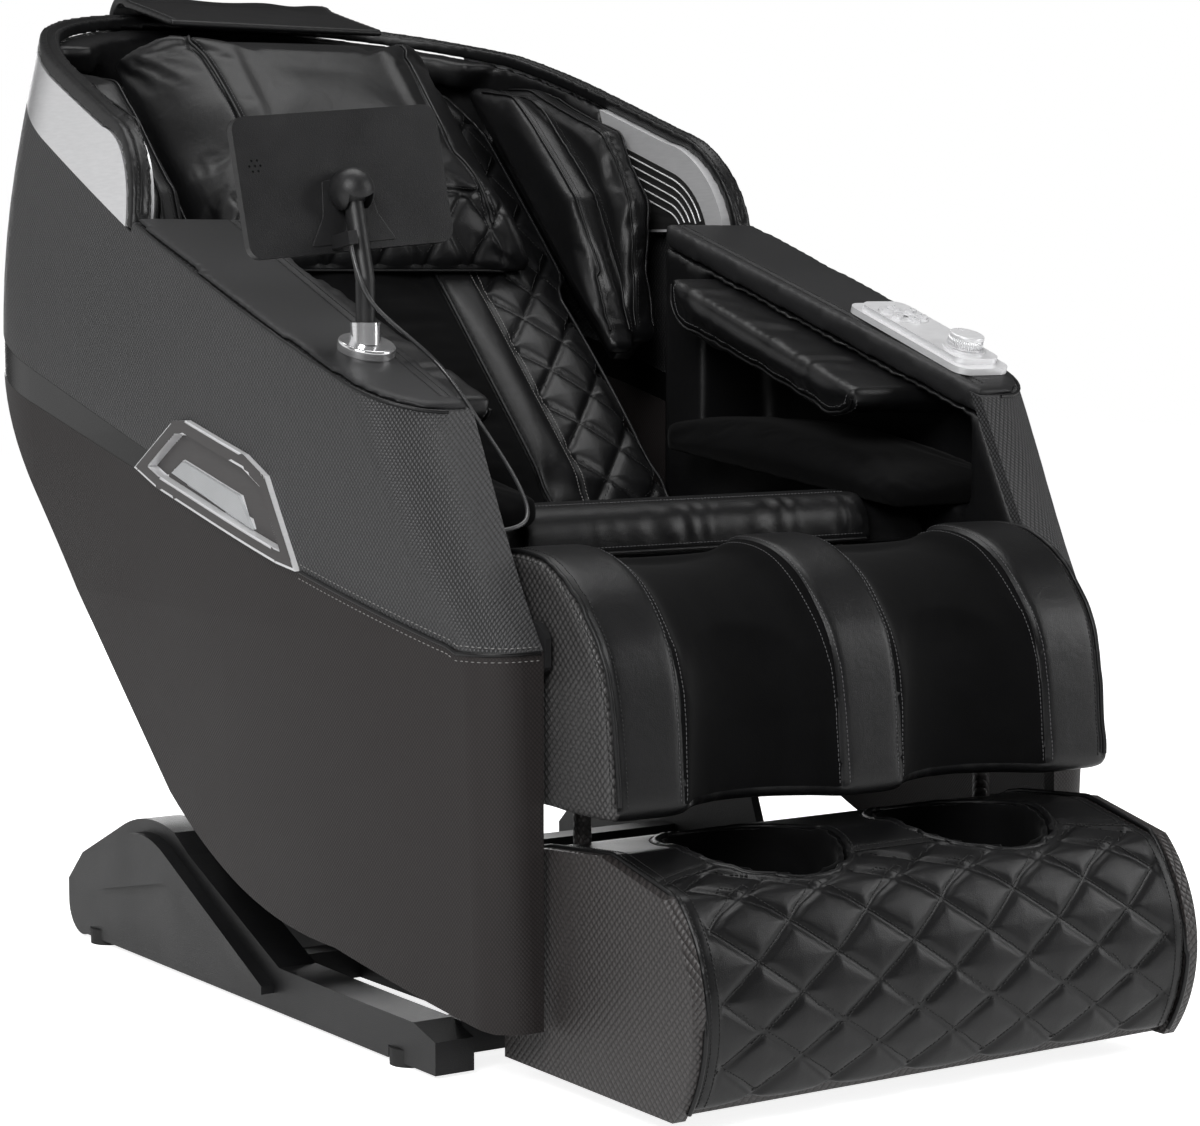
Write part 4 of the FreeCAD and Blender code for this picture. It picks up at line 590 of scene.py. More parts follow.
# Arms: a smooth grey-black pad lies along each arm top, edged with a welt, and a hide-covered box
# with a forearm pocket hangs inside it. Each pocket has an airbag above and a soft pad below.
ARM_FRONT_Y, ARM_FRONT_Z = -0.350, 0.593
ARM_SLOPE = math.radians(19.2)
ARM_INNER_FRONT, ARM_INNER_TAPER, ARM_INNER_LONG = 0.290, 0.035, 0.486
ARM_NOSE_Y, ARM_NOSE_DEEP = -0.284, 0.066
WELT_BELOW_TOP = 0.0075


def apply_all(piece):
    """Turns a piece's modifiers into its own mesh."""
    bpy.context.view_layer.update()
    seen = bpy.context.evaluated_depsgraph_get()
    made = bpy.data.meshes.new_from_object(piece.evaluated_get(seen))
    piece.modifiers.clear()
    piece.data = made


def eased(mesh, rounds):
    """Rounds off a mesh's hard edges a little with each round."""
    shape = bmesh.new()
    shape.from_mesh(mesh)
    every_way = {"use_axis_x": True, "use_axis_y": True, "use_axis_z": True}
    for _ in range(rounds):
        bmesh.ops.smooth_vert(shape, verts=shape.verts, factor=0.5, **every_way)
    shape.to_mesh(mesh)
    shape.free()


def skin_of(node, name, voxel, rounds, body, finish_slot, *materials):
    """Closed even skin over a node's solid, its hard edges eased; it stands for that node."""
    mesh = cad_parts[node].data.copy()
    shape = bmesh.new()
    shape.from_mesh(mesh)
    bmesh.ops.remove_doubles(shape, verts=shape.verts, dist=0.00002)
    shape.to_mesh(mesh)
    shape.free()
    piece = mounted(name, mesh, body)
    cast = piece.modifiers.new("even", "REMESH")
    cast.mode = "VOXEL"
    cast.voxel_size = voxel
    apply_all(piece)
    eased(piece.data, rounds)
    piece.data.materials.clear()
    for material in materials:
        piece.data.materials.append(material)
    piece.data.shade_smooth()
    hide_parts(node)
    return piece


def refined(piece):
    """One subdivision, so that seams and quilting can be drawn into the skin."""
    halved = piece.modifiers.new("halved", "SUBSURF")
    halved.levels = halved.render_levels = 1
    apply_all(piece)
    piece.data.shade_smooth()


def shaped(piece, rise):
    """Moves each point along its normal by rise(point, normal), in metres."""
    mesh = piece.data
    normals = [vertex.normal.copy() for vertex in mesh.vertices]
    for vertex, normal in zip(mesh.vertices, normals):
        vertex.co += normal * rise(vertex.co, normal)
    mesh.update()


def seamed(piece, runs, depth, width):
    """Draws a skin in along its sewn lines."""
    stops = [spot for run in runs for spot, _, _ in run]
    near = kdtree.KDTree(len(stops))
    for number, spot in enumerate(stops):
        near.insert(spot, number)
    near.balance()

    def rise(co, _normal):
        gap = near.find(co)[2]
        return -depth * math.exp(-((gap / width) ** 2)) if gap < 3 * width else 0.0

    shaped(piece, rise)


def ramp(value, low, high):
    """Smooth rise from 0 at low to 1 at high."""
    share = min(1.0, max(0.0, (value - low) / (high - low)))
    return share * share * (3 - 2 * share)


def window(value, low, high, edge):
    """1 between two limits, easing to 0 over the edge inside each."""
    return ramp(value, low, low + edge) * (1 - ramp(value, high - edge, high))


def swollen(piece, pressure, cap, held):
    """Blows the skin up as filled cloth for 20 frames; held(point) keeps a point where it is."""
    group = piece.vertex_groups.new(name="held")
    group.add([v.index for v in piece.data.vertices if held(v.co)], 1.0, "REPLACE")
    rest = [v.co.copy() for v in piece.data.vertices]
    cloth = piece.modifiers.new("cloth", "CLOTH")
    cloth.settings.quality = 4
    cloth.settings.mass = 0.3
    cloth.settings.use_pressure = True
    cloth.settings.uniform_pressure_force = pressure
    cloth.settings.effector_weights.gravity = 0.0
    cloth.settings.vertex_group_mass = "held"
    for number in range(1, 21):
        scene.frame_set(number)
    apply_all(piece)
    for vertex, start in zip(piece.data.vertices, rest):
        move = vertex.co - start
        if move.length > cap:
            vertex.co = start + move * (cap / move.length)
    piece.vertex_groups.clear()
    piece.data.shade_smooth()
    scene.frame_set(1)


def arm_top_at(y, drop=0.0):
    """Height of the sloping arm top at this y, less a drop."""
    return ARM_FRONT_Z + (y - ARM_FRONT_Y) * math.tan(ARM_SLOPE) - drop


def arm_inner_at(y):
    """Where the arm's inner face stands at this y."""
    share = min(1.0, max(0.0, (y - ARM_FRONT_Y) / ARM_INNER_LONG))
    return ARM_INNER_FRONT - ARM_INNER_TAPER * share


arm_top = skin_of("arm_pad_left", "arm_top_left", 0.0048, 3, "cabin", "hide_grey", arm_hide)
refined(arm_top)
along_arm = (-0.330, -0.25, -0.15, -0.05, 0.05, 0.128)
arm_seam = laid(skin_tree(arm_top), [(arm_inner_at(y) + 0.017, y, arm_top_at(y)) for y in along_arm])
seamed(arm_top, [arm_seam], depth=0.0025, width=0.003)
cover = skin_tree(arm_top)
thread = stitched(
    "arm_thread_left", cover, [arm_seam], (-0.0045, 0.0045), dark_thread, "cabin"
)
twin(thread, "arm_thread_right", "cabin")
arm_top_right = twin(arm_top, "arm_top_right", "cabin", "arm_pad_right")

rays = []
for number in range(10):
    y = 0.128 - number * 0.045
    rays.append(from_side(y, arm_top_at(y, WELT_BELOW_TOP)))
for number in range(10):
    rays.append(
        from_nose(
            NOSE_X,
            ARM_NOSE_Y,
            number / 9,
            lambda ahead: arm_top_at(ARM_NOSE_Y + ARM_NOSE_DEEP * ahead, WELT_BELOW_TOP),
        )
    )
edge = laid(shell, [spot + Vector((0, 0, 0.0015)) for spot in struck(shell, rays)])
piped("arm_welt", [edge, across_chair(edge)], 0.0018, black_hide, "cabin", lift=0.0002)

arm_inside = skin_of("arm_box_left", "arm_inside_left", 0.006, 1, "cabin", "hide_dark", black_hide)
arm_inside_right = twin(arm_inside, "arm_inside_right", "cabin", "arm_box_right")

bag = skin_of("arm_airbag_left", "arm_bag_left", 0.004, 3, "cabin", "hide_dark", black_hide)
POCKET_BACK = 0.34
swollen(bag, 3.0, 0.006, lambda co: co.x > POCKET_BACK or co.z > arm_top_at(co.y, 0.040))
refined(bag)


def gathers(co, _normal):
    """Soft folds square to the bag's long edge, deepest near its seam."""
    fold = math.sin(co.y * 150 + 4 * noise.noise(co * 16)) * (0.4 + noise.noise(co * 25))
    return 0.0016 * fold * window(co.y, -0.245, 0.05, 0.03) * ramp(0.30 - co.x, 0.0, 0.06)


shaped(bag, gathers)
BAG_FACE = 0.208
drops = [(-0.252, 0.012), (-0.243, 0.028), (-0.205, 0.042), (-0.10, 0.045)]
drops += [(0.010, 0.047), (0.044, 0.043), (0.056, 0.026), (0.056, 0.004)]
lower = laid(skin_tree(bag), [(BAG_FACE, y, arm_top_at(y, 0.0326 + drop)) for y, drop in drops])
seamed(bag, [lower], depth=0.0015, width=0.003)
cover = skin_tree(bag)
piped(
    "arm_bag_piping", [lower, across_chair(lower)], 0.0016, black_hide, "cabin", lift=0.0008
)
thread = stitched(
    "arm_bag_thread_left",
    cover,
    [lower],
    (-0.007, 0.007),
    pale_thread,
    "cabin",
    thick=0.0008,
)
twin(thread, "arm_bag_thread_right", "cabin")
bag_right = twin(bag, "arm_bag_right", "cabin", "arm_airbag_right")

# Velour: dense short pile, nearly black, used in the calf wells, the foot socks, the middle of the
# back and the forearm pads
nap, given, place = effect("velour_nap", {"Tint": (0.0032, 0.0032, 0.0034, 1)})
pile = clouds(nap, place, 900.0, 3.0)
stroke = clouds(nap, place, 12.0, 6.0, 1.5)
results(
    nap,
    toned(nap, given, scaled(nap, stroke, 1.2, sums(nap, "MULTIPLY", pile, 0.6))),
    scaled(nap, stroke, 0.1, 0.86),
    scaled(nap, stroke, 4.0, pile),
)
velour = finish(
    "velour",
    nap,
    {},
    bump=0.0003,
    strength=0.5,
    Sheen_Weight=0.03,
    Sheen_Roughness=0.4,
    Specular_IOR_Level=0.06,
)

forearm = skin_of("forearm_pad_left", "forearm_rest_left", 0.005, 4, "cabin", "velour", velour)
swollen(forearm, 3.0, 0.006, lambda co: co.x > POCKET_BACK or co.z < 0.49 + (co.y + 0.32) * 0.1)
refined(forearm)
forearm_right = twin(forearm, "forearm_rest_right", "cabin", "forearm_pad_right")

# Speaker grilles: a dark pressed cloth lies in the lower part of each silver cheek plate, under
# five thin bright ribs that follow the hood's rim
BEND_Y, BEND_Z, BEND_RADIUS = 0.260, 0.747, 0.122
BEND_SHARE = 0.6
RIM_LEAN = math.radians(20)
PLATE_REAR_Y = 0.352
RIB_COUNT, RIB_PITCH, RIB_FIRST, RIB_LOWEST = 5, 0.0098, 0.052, 0.762
CLOTH_INWARD, CLOTH_LOWEST = 0.045, 0.757
cheek = skin_tree(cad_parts["speaker_plate_left"])


def rim_offset(inward, share):
    """Side-view point this far inside the rim: round its front bend, then up its straight back."""
    radius = BEND_RADIUS - inward
    angle = math.pi - (math.pi / 2 - RIM_LEAN) * min(1.0, share / BEND_SHARE)
    y = BEND_Y + radius * math.cos(angle)
    run = max(0.0, share - BEND_SHARE) / (1 - BEND_SHARE) * (PLATE_REAR_Y - y)
    return y + run, BEND_Z + radius * math.sin(angle) + run * math.tan(RIM_LEAN)


def on_cheek(y, z, lift):
    """Point on the plate's inner face, or none beside the plate."""
    spot = cheek.ray_cast(Vector((0.2, y, z)), Vector((1, 0, 0)))[0]
    return None if spot is None else spot - Vector((lift, 0, 0))


ribs = []
for number in range(RIB_COUNT):
    marks = []
    for count in range(25):
        y, z = rim_offset(RIB_FIRST + number * RIB_PITCH, count / 24)
        spot = on_cheek(y, z, 0.0012) if z > RIB_LOWEST else None
        if spot is not None:
            marks.append(spot)
    if len(marks) > 3:
        ribs.append([(spot, Vector((-1, 0, 0)), Vector((0, 0, 1))) for spot in traced(marks, 0.003)])
piped("cheek_ribs", ribs + [across_chair(run) for run in ribs], 0.0009, plate_silver, "cabin")

pressed, given, place = effect("pressed_mesh", {"Tint": (0.008, 0.008, 0.008, 1)})
feeds = {"Vector": place, "Scale": 620.0, "Randomness": 0.1}
cells = step(pressed, "TexVoronoi", feeds).outputs["Distance"]
tone = toned(pressed, given, scaled(pressed, cells, 1.5, 0.4))
results(pressed, tone, scaled(pressed, cells, 0.3, 0.55), cells)
grille_cloth = finish("grille_cloth", pressed, {})
shape = bmesh.new()
bmesh.ops.create_grid(shape, x_segments=40, y_segments=16, size=0.5)
missed = []
for vertex in shape.verts:
    y, z = rim_offset(CLOTH_INWARD, vertex.co.x + 0.5)
    low = min(z, CLOTH_LOWEST)
    spot = on_cheek(min(y, PLATE_REAR_Y + 0.001), low + (z - low) * (vertex.co.y + 0.5), 0.0006)
    if spot is None:
        missed.append(vertex)
    else:
        vertex.co = spot
bmesh.ops.delete(shape, geom=missed, context="VERTS")
bmesh.ops.remove_doubles(shape, verts=shape.verts, dist=0.0002)
facing(shape, -1)
mesh = meshed("cheek_grille_left", shape, grille_cloth)
grille = mounted("cheek_grille_left", mesh, "cabin")
twin(grille, "cheek_grille_right", "cabin")

# Hood: hide lining behind the head, and a rim trim sewn from two soft rolls with a seam between
# them that runs up the front bend, along the top and round the rear corners
HOOD_WIDTHS = [(0.64, 0.388), (0.76, 0.378), (0.88, 0.354), (1.03, 0.304)]
RIM_TOP = [(0.232, 0.866), (0.504, 0.965), (0.700, 1.012)]
RIM_SEAM_INSET = 0.011
CORNER_Y, CORNER_RADIUS = 0.404, 0.272

lining = skin_of("hood_liner", "hood_lining", 0.006, 2, "cabin", "hide_dark", black_hide)
rim = skin_of("rim_trim", "hood_rim", 0.003, 3, "cabin", "hide_dark", black_hide)


def hood_half(z):
    """Half width of the hood at this height."""
    for (low, wide), (high, narrow) in zip(HOOD_WIDTHS, HOOD_WIDTHS[1:]):
        if z <= high:
            return wide + (narrow - wide) * (z - low) / (high - low)
    return HOOD_WIDTHS[-1][1]


def rim_height(y):
    """Height of the rim's top edge at this y."""
    if y < RIM_TOP[0][0]:
        return BEND_Z + math.sqrt(max(0.0, BEND_RADIUS**2 - (y - BEND_Y) ** 2))
    (start, low), (end, high) = RIM_TOP[:2] if y < RIM_TOP[1][0] else RIM_TOP[1:]
    return low + (y - start) * (high - low) / (end - start)


stations = [0.1395 + 0.0925 * (number / 7) ** 1.6 for number in range(8)]
stations += [0.232 + number * 0.0185 for number in range(1, 10)]
middle = [(hood_half(rim_height(y)) - RIM_SEAM_INSET, y, rim_height(y)) for y in stations]
for number in range(1, 13):
    angle = math.radians(number * 7.5)
    y = CORNER_Y + CORNER_RADIUS * math.sin(angle)
    z = rim_height(y)
    middle.append((hood_half(z) - RIM_SEAM_INSET - CORNER_RADIUS * (1 - math.cos(angle)), y, z))
middle.append((0.0, CORNER_Y + CORNER_RADIUS, rim_height(CORNER_Y + CORNER_RADIUS)))
trim_line = laid(skin_tree(rim), middle)
trim_runs = [trim_line, across_chair(trim_line)]
seamed(rim, trim_runs, depth=0.0045, width=0.0036)
cover = skin_tree(rim)
stitched(
    "hood_rim_thread", cover, trim_runs, (-0.0048, 0.0048), dark_thread, "cabin", pitch=0.006
)

# Back: a hide-covered pad with a soft middle of velour, two smooth bands with paired stitching and
# two diamond-quilted strips, edged with piping
BACK = Matrix.Translation((0, 0.085, 0.460)) @ Matrix.Rotation(math.radians(45), 4, "X")
TO_BACK = BACK.inverted()
BAND_INNER, BAND_OUTER = 0.084, 0.134
BAND_PAIR = (-0.0045, 0.0045)
DIAMOND = (0.068, 0.080)
DIAMOND_FOOT = 0.16


def on_back(*points):
    """Points of the back's own frame, as places on the chair."""
    return [BACK @ Vector(point) for point in points]


def quilted(piece, diamond, depth, chart):
    """Fills the charted part of a skin into padded diamonds."""
    wide, tall = diamond

    def rise(co, _normal):
        found = chart(co)
        if found is None:
            return 0.0
        u, v, share = found
        first, second = u / wide + v / tall, u / wide - v / tall
        gap = 2 * min(abs(first - round(first)), abs(second - round(second)))
        sewn = 0.5 * math.exp(-((gap / DIAMOND_FOOT) ** 2)) + 0.5 * (1 - gap) ** 2
        return -depth * share * sewn

    shaped(piece, rise)


def quilt_runs(tree, diamond, put, inside, low, high):
    """The quilting's sewn lines, from one end of the chart to the other."""
    wide, tall = diamond
    pace = 0.005
    runs = []
    for lean in (1, -1):
        for number in range(-30, 31):
            marks = []
            for count in range(int((high - low) / pace) + 2):
                v = low + count * pace
                u = wide * (number - lean * v / tall)
                if v <= high and inside(u, v):
                    marks.append(put(u, v))
                else:
                    if len(marks) > 2:
                        runs.append(laid(tree, marks))
                    marks = []
    return runs


def faced(piece, choose):
    """Gives each face of a skin one of its materials."""
    for face in piece.data.polygons:
        face.material_index = choose(face.center, face.normal)


back = skin_of("back_pad", "back_rest", 0.0066, 3, "cabin", "quilt", black_hide, velour)
swollen(back, 3.0, 0.005, lambda co: (TO_BACK @ co).z < -0.02)
refined(back)


def back_chart(co):
    """Place on a quilted strip, and how deep it is quilted there."""
    x, s, t = TO_BACK @ co
    if t < -0.03 or abs(x) < 0.136:
        return None
    return abs(x) - BAND_OUTER, s, window(abs(x), 0.136, 0.274, 0.006) * window(s, -0.01, 0.66, 0.01)


def back_folds(co, _normal):
    """Loose cross folds in the velour middle."""
    x, s, t = TO_BACK @ co
    if t < -0.03 or abs(x) > 0.082:
        return 0.0
    fold = noise.noise(Vector((x * 9, s * 26, 1.7))) + 0.5 * noise.noise(Vector((x * 20, s * 60, 4.0)))
    return 0.0045 * fold * window(x, -0.082, 0.082, 0.02)


cover = skin_tree(back)
up_back = (-0.005, 0.15, 0.33, 0.5, 0.655)
inner_seams, outer_seams = [
    [laid(cover, on_back(*[(side * x, s, 0.0) for s in up_back])) for side in (-1, 1)]
    for x in (BAND_INNER, BAND_OUTER)
]
edge_knots = [(0.236, 0.0), (0.240, 0.05), (0.240, 0.28), (0.246, 0.325), (0.266, 0.36)]
edge_knots += [(0.270, 0.40), (0.270, 0.58), (0.262, 0.61), (0.216, 0.652)]
rim_runs = [laid(cover, on_back(*[(side * x, s, -0.006) for x, s in edge_knots])) for side in (1, -1)]
quilted(back, DIAMOND, 0.0065, back_chart)
shaped(back, back_folds)
seamed(back, inner_seams, depth=0.004, width=0.004)
seamed(back, outer_seams, depth=0.0035, width=0.0035)
cover = skin_tree(back)
piped("back_piping", rim_runs + inner_seams, 0.0021, black_hide, "cabin", lift=0.0006)
stitched("back_thread_pale", cover, outer_seams, BAND_PAIR, seam_thread, "cabin", thick=0.0009)
strip = quilt_runs(
    cover,
    DIAMOND,
    lambda u, v: BACK @ Vector((BAND_OUTER + u, v, 0.0)),
    lambda u, v: 0.006 < u < 0.132,
    0.004,
    0.645,
)
strips = strip + [across_chair(run) for run in strip]
stitched("back_thread_quilt", cover, strips, (0.0,), dark_thread, "cabin", thick=0.001)
stitched("back_thread_edge", cover, rim_runs, (-0.006,), dark_thread, "cabin")
faced(back, lambda at, _normal: 1 if abs(at.x) < 0.083 and (TO_BACK @ at).z > -0.03 else 0)

# Leaves: two puffed hide leaves on each side of the shoulders, each edged with piping and a row
# of stitches
leaf = skin_of("shoulder_leaf_left", "leaf_left", 0.005, 3, "cabin", "hide_dark", black_hide)
swollen(leaf, 4.0, 0.006, lambda co: (TO_BACK @ co).z < 0.012)
refined(leaf)


def leaf_folds(co, _normal):
    """Shallow folds that fan out from the leaf's foot."""
    x, s, t = TO_BACK @ co
    return 0.0022 * noise.noise(Vector((x * 14, s * 9 + t * 20, t * 7))) * ramp(t, 0.01, 0.04)


shaped(leaf, leaf_folds)
cover = skin_tree(leaf)
inner_edge = [(0.62, 0.030), (0.568, 0.072), (0.480, 0.080), (0.388, 0.081), (0.300, 0.055), (0.232, 0.026)]
outer_edge = [(0.625, 0.026), (0.593, 0.064), (0.520, 0.100), (0.444, 0.131)]
outer_edge += [(0.348, 0.114), (0.290, 0.070), (0.240, 0.024)]
leaf_runs = []
for x, path in ((0.2515, inner_edge), (0.278, inner_edge), (0.2885, outer_edge), (0.3145, outer_edge)):
    leaf_runs.append(laid(cover, on_back(*[(x, s, t) for s, t in path])))
seamed(leaf, leaf_runs, depth=0.0012, width=0.003)
cover = skin_tree(leaf)
both_sides = leaf_runs + [across_chair(run) for run in leaf_runs]
piped("leaf_piping", both_sides, 0.0013, black_hide, "cabin", lift=0.0006)
thread = stitched(
    "leaf_thread_left", cover, leaf_runs, (0.006,), dark_thread, "cabin", thick=0.0009
)
twin(thread, "leaf_thread_right", "cabin")
leaf_right = twin(leaf, "leaf_right", "cabin", "shoulder_leaf_right")

# Head pillow: a filled hide cushion with a plain middle, gussets down its sides and one quilted
# row along its foot. It hangs from a tongue that goes over the hood's rear edge.
PILLOW_DIAMOND = (0.060, 0.074)
ROW_FOOT, ROW_TOP = 0.338, 0.412
pillow = skin_of("head_pillow", "pillow", 0.005, 4, "pillow", "hide_dark", black_hide)
swollen(pillow, 4.0, 0.010, lambda co: (TO_BACK @ co).z < 0.010)
refined(pillow)


def pillow_chart(co):
    """Place on the quilted row, and how deep it is quilted there."""
    x, s, t = TO_BACK @ co
    if t < 0.012 or s > ROW_TOP:
        return None
    return x, s - ROW_FOOT, window(x, -0.172, 0.172, 0.008) * window(s, 0.335, ROW_TOP, 0.006)


def pillow_folds(co, _normal):
    """Slack folds across the pillow's face."""
    x, s, t = TO_BACK @ co
    return 0.003 * noise.noise(Vector((x * 7, s * 16, 3.1))) * ramp(t, 0.02, 0.05)


cover = skin_tree(pillow)
gusset = [(0.136, 0.655, 0.06), (0.132, 0.60, 0.078), (0.128, 0.50, 0.079), (0.136, 0.43, 0.072)]
gusset += [(0.150, 0.375, 0.055)]
gussets = [laid(cover, on_back(*[(side * x, s, t) for x, s, t in gusset])) for side in (1, -1)]
row_top = laid(cover, on_back(*[(x, ROW_TOP, 0.062) for x in (-0.143, -0.07, 0.0, 0.07, 0.143)]))
foot_knots = [(-0.196, 0.52), (-0.196, 0.40), (-0.17, 0.350), (0.0, 0.347)]
foot_knots += [(0.17, 0.350), (0.196, 0.40), (0.196, 0.52)]
foot_edge = laid(cover, on_back(*[(x, s, 0.008) for x, s in foot_knots]))
quilted(pillow, PILLOW_DIAMOND, 0.0055, pillow_chart)
shaped(pillow, pillow_folds)
seamed(pillow, gussets + [row_top], depth=0.004, width=0.0045)
cover = skin_tree(pillow)
piped("pillow_piping", gussets + [foot_edge], 0.0018, black_hide, "pillow", lift=0.0006)
stitched(
    "pillow_thread_pale", cover, gussets, (-0.005, 0.005), pale_thread, "pillow", thick=0.0008
)
stitched("pillow_thread_row", cover, [row_top], (0.004,), dark_thread, "pillow")
rows = quilt_runs(
    cover,
    PILLOW_DIAMOND,
    lambda u, v: BACK @ Vector((u, ROW_FOOT + v, 0.03 + v * 0.4)),
    lambda u, v: abs(u) < 0.150,
    0.008,
    0.072,
)
stitched("pillow_thread_quilt", cover, rows, (0.0,), dark_thread, "pillow")

tongue = skin_of("head_flap", "hood_tongue", 0.003, 2, "cabin", "hide_dark", black_hide)
TONGUE_SEAM_X = 0.129


def tongue_folds(co, _normal):
    """Gentle lengthwise waves of the hanging tongue."""
    return 0.0012 * math.sin(co.x * 62 + 2 * noise.noise(co * 8)) * ramp(co.y, 0.60, 0.69)


shaped(tongue, tongue_folds)
cover = skin_tree(tongue)
hem = laid(cover, [(x, 0.702, 0.944) for x in (-0.128, 0.0, 0.128)])
border = [(0.54, 0.992), (0.60, 1.007), (0.655, 1.02), (0.690, 1.015), (0.702, 0.99), (0.702, 0.945)]
borders = [laid(cover, [(x, y, z) for y, z in border]) for x in (TONGUE_SEAM_X, -TONGUE_SEAM_X)]
stitched("tongue_thread", cover, [hem] + borders, (0.0,), pale_thread, "cabin", thick=0.0008)

# Seat: a dished hide cushion, quilted beside its plain middle, with piping along its front, and a
# gathered flap that folds over the front edge
SEAT_SEW_Z = 0.43
seat = skin_of("seat_cushion", "seat", 0.007, 3, "cabin", "hide_dark", black_hide, velour)
swollen(seat, 3.0, 0.004, lambda co: co.z < SEAT_SEW_Z)
refined(seat)


def seat_chart(co):
    """Place on a quilted side of the seat, and how deep it is quilted there."""
    if co.z < SEAT_SEW_Z or abs(co.x) < 0.136:
        return None
    share = window(abs(co.x), 0.136, 0.250, 0.006) * window(co.y, -0.245, 0.060, 0.01)
    return abs(co.x) - BAND_OUTER, co.y, share


quilted(seat, DIAMOND, 0.006, seat_chart)
cover = skin_tree(seat)
seat_line = [(-0.240, 0.495), (-0.15, 0.47), (-0.06, 0.452), (0.06, 0.45)]
seat_seams = []
for x in (-BAND_OUTER, -BAND_INNER, BAND_INNER, BAND_OUTER):
    seat_seams.append(laid(cover, [(x, y, z) for y, z in seat_line]))
seamed(seat, seat_seams, depth=0.0035, width=0.004)
cover = skin_tree(seat)
outer_pair = [seat_seams[0], seat_seams[-1]]
stitched("seat_thread", cover, outer_pair, BAND_PAIR, pale_thread, "cabin", thick=0.0009)
across_front = (-0.276, -0.14, 0.0, 0.14, 0.276)
front_pipes = [laid(cover, [(x, -0.291, z) for x in across_front]) for z in (0.446, 0.437, 0.404)]
piped("seat_piping", front_pipes, 0.0019, black_hide, "cabin", lift=0.0008)
stitched("seat_thread_front", cover, [front_pipes[1]], (-0.005, 0.005), dark_thread, "cabin")
faced(seat, lambda at, _normal: 1 if abs(at.x) < 0.083 and at.z > SEAT_SEW_Z else 0)

front_flap = skin_of("seat_flap", "seat_front_flap", 0.003, 2, "cabin", "hide_dark", black_hide)
FLAP_FRONT_Y = -0.2985


def flap_gathers(co, _normal):
    """Short puckers between the flap's two sewn rows, deeper towards one end."""
    pucker = math.sin(co.x * 240 + 4 * noise.noise(Vector((co.x * 18, 0, 0))))
    pucker *= 0.6 + noise.noise(co * 20)
    held = window(co.z, 0.454, 0.496, 0.012) * ramp(-co.y, 0.262, 0.285)
    return 0.0015 * pucker * held * ramp(co.x, -0.16, 0.04)


shaped(front_flap, flap_gathers)
cover = skin_tree(front_flap)
flap_rows = []
for y, z in ((-0.266, 0.493), (FLAP_FRONT_Y, 0.455)):
    flap_rows.append(laid(cover, [(x, y, z) for x in (-0.190, -0.09, 0.0, 0.09, 0.190)]))
stitched("seat_flap_thread", cover, flap_rows, (0.0,), pale_thread, "cabin", thick=0.0009)
flap_edge = laid(cover, [(x, FLAP_FRONT_Y, 0.4485) for x in (-0.196, -0.09, 0.0, 0.09, 0.196)])
piped("seat_flap_piping", [flap_edge], 0.0021, black_hide, "cabin")

# Leg rest: foam body with a velour well for each calf, smooth hide rolls between and outside the
# wells, and embossed sides. Paired stitches run beside each roll.
WELL_X, WELL_HALF = 0.117, 0.077
FLANK_X = 0.272
CALF_PROFILE = [(-0.356, 0.445), (-0.395, 0.462), (-0.452, 0.453), (-0.505, 0.412)]
CALF_PROFILE += [(-0.534, 0.368), (-0.548, 0.310), (-0.553, 0.262)]
# Leg sides: the lighter dot tops are painted highlight, the darker hollows painted shade.
leg_dots = finish(
    "embossed_leg",
    dots,
    {"Pitch": 0.0056, "Raised": (0.062, 0.06, 0.06, 1), "Dull": 0.3},
    bump=0.0009,
    strength=0.9,
    Specular_IOR_Level=0.4,
)
leg_finishes = (black_hide, velour, leg_dots)
calf = skin_of("calf_cushion", "leg_cushion", 0.0068, 3, "legrest", "hide_dark", *leg_finishes)


def well_share(x):
    """How deep the well is at this x, from 0 at its walls to 1 in its middle."""
    return max(0.0, 1 - ((abs(x) - WELL_X) / WELL_HALF) ** 2)


def well_over_crest(co, normal):
    """The wells run on over the crest, so that the rolls stand proud there too."""
    outward = ramp(-normal.y + normal.z, 0.2, 0.6)
    reach = ramp(co.z, 0.33, 0.40) * ramp(-co.y, 0.352, 0.385)
    share = well_share(co.x)
    return (-0.016 * math.sqrt(share) + (0.008 if share == 0 else 0.0)) * outward * reach


shaped(calf, well_over_crest)
eased(calf.data, 3)
refined(calf)
cover = skin_tree(calf)
roll_seams, side_seams = [
    [laid(cover, [(x, y, z) for y, z in CALF_PROFILE]) for x in across]
    for across in ((-0.203, -0.033, 0.033, 0.203), (-FLANK_X, FLANK_X))
]
seamed(calf, roll_seams + side_seams, depth=0.003, width=0.0035)
cover = skin_tree(calf)
stitched(
    "leg_thread_pale", cover, roll_seams, BAND_PAIR, pale_thread, "legrest", thick=0.0008
)
piped("leg_piping", side_seams, 0.0022, black_hide, "legrest", lift=0.0006)
stitched("leg_thread_dark", cover, side_seams, (-0.008, 0.008), dark_thread, "legrest")


def leg_face(at, normal):
    """0 for hide, 1 for the velour of a well and 2 for the embossed sides."""
    if abs(at.x) > FLANK_X or (abs(normal.x) > 0.8 and abs(at.x) > 0.262):
        return 2
    return 1 if 0.034 < abs(at.x) < 0.202 and at.z > 0.26 and normal.y < 0.5 else 0


faced(calf, leg_face)

# Foot unit: the tub's sides are embossed, its cover is quilted in front and has smooth bands round
# the two holes, and a velour sock lines each hole
HOLE_Y, HOLE_WIDE, HOLE_DEEP = -0.528, 0.078, 0.084
FOOT_DIAMOND = (0.082, 0.058)
BROW_Z = 0.199
foot = skin_of("foot_cover", "foot_quilt", 0.0055, 2, "footrest", "quilt", black_hide)
refined(foot)


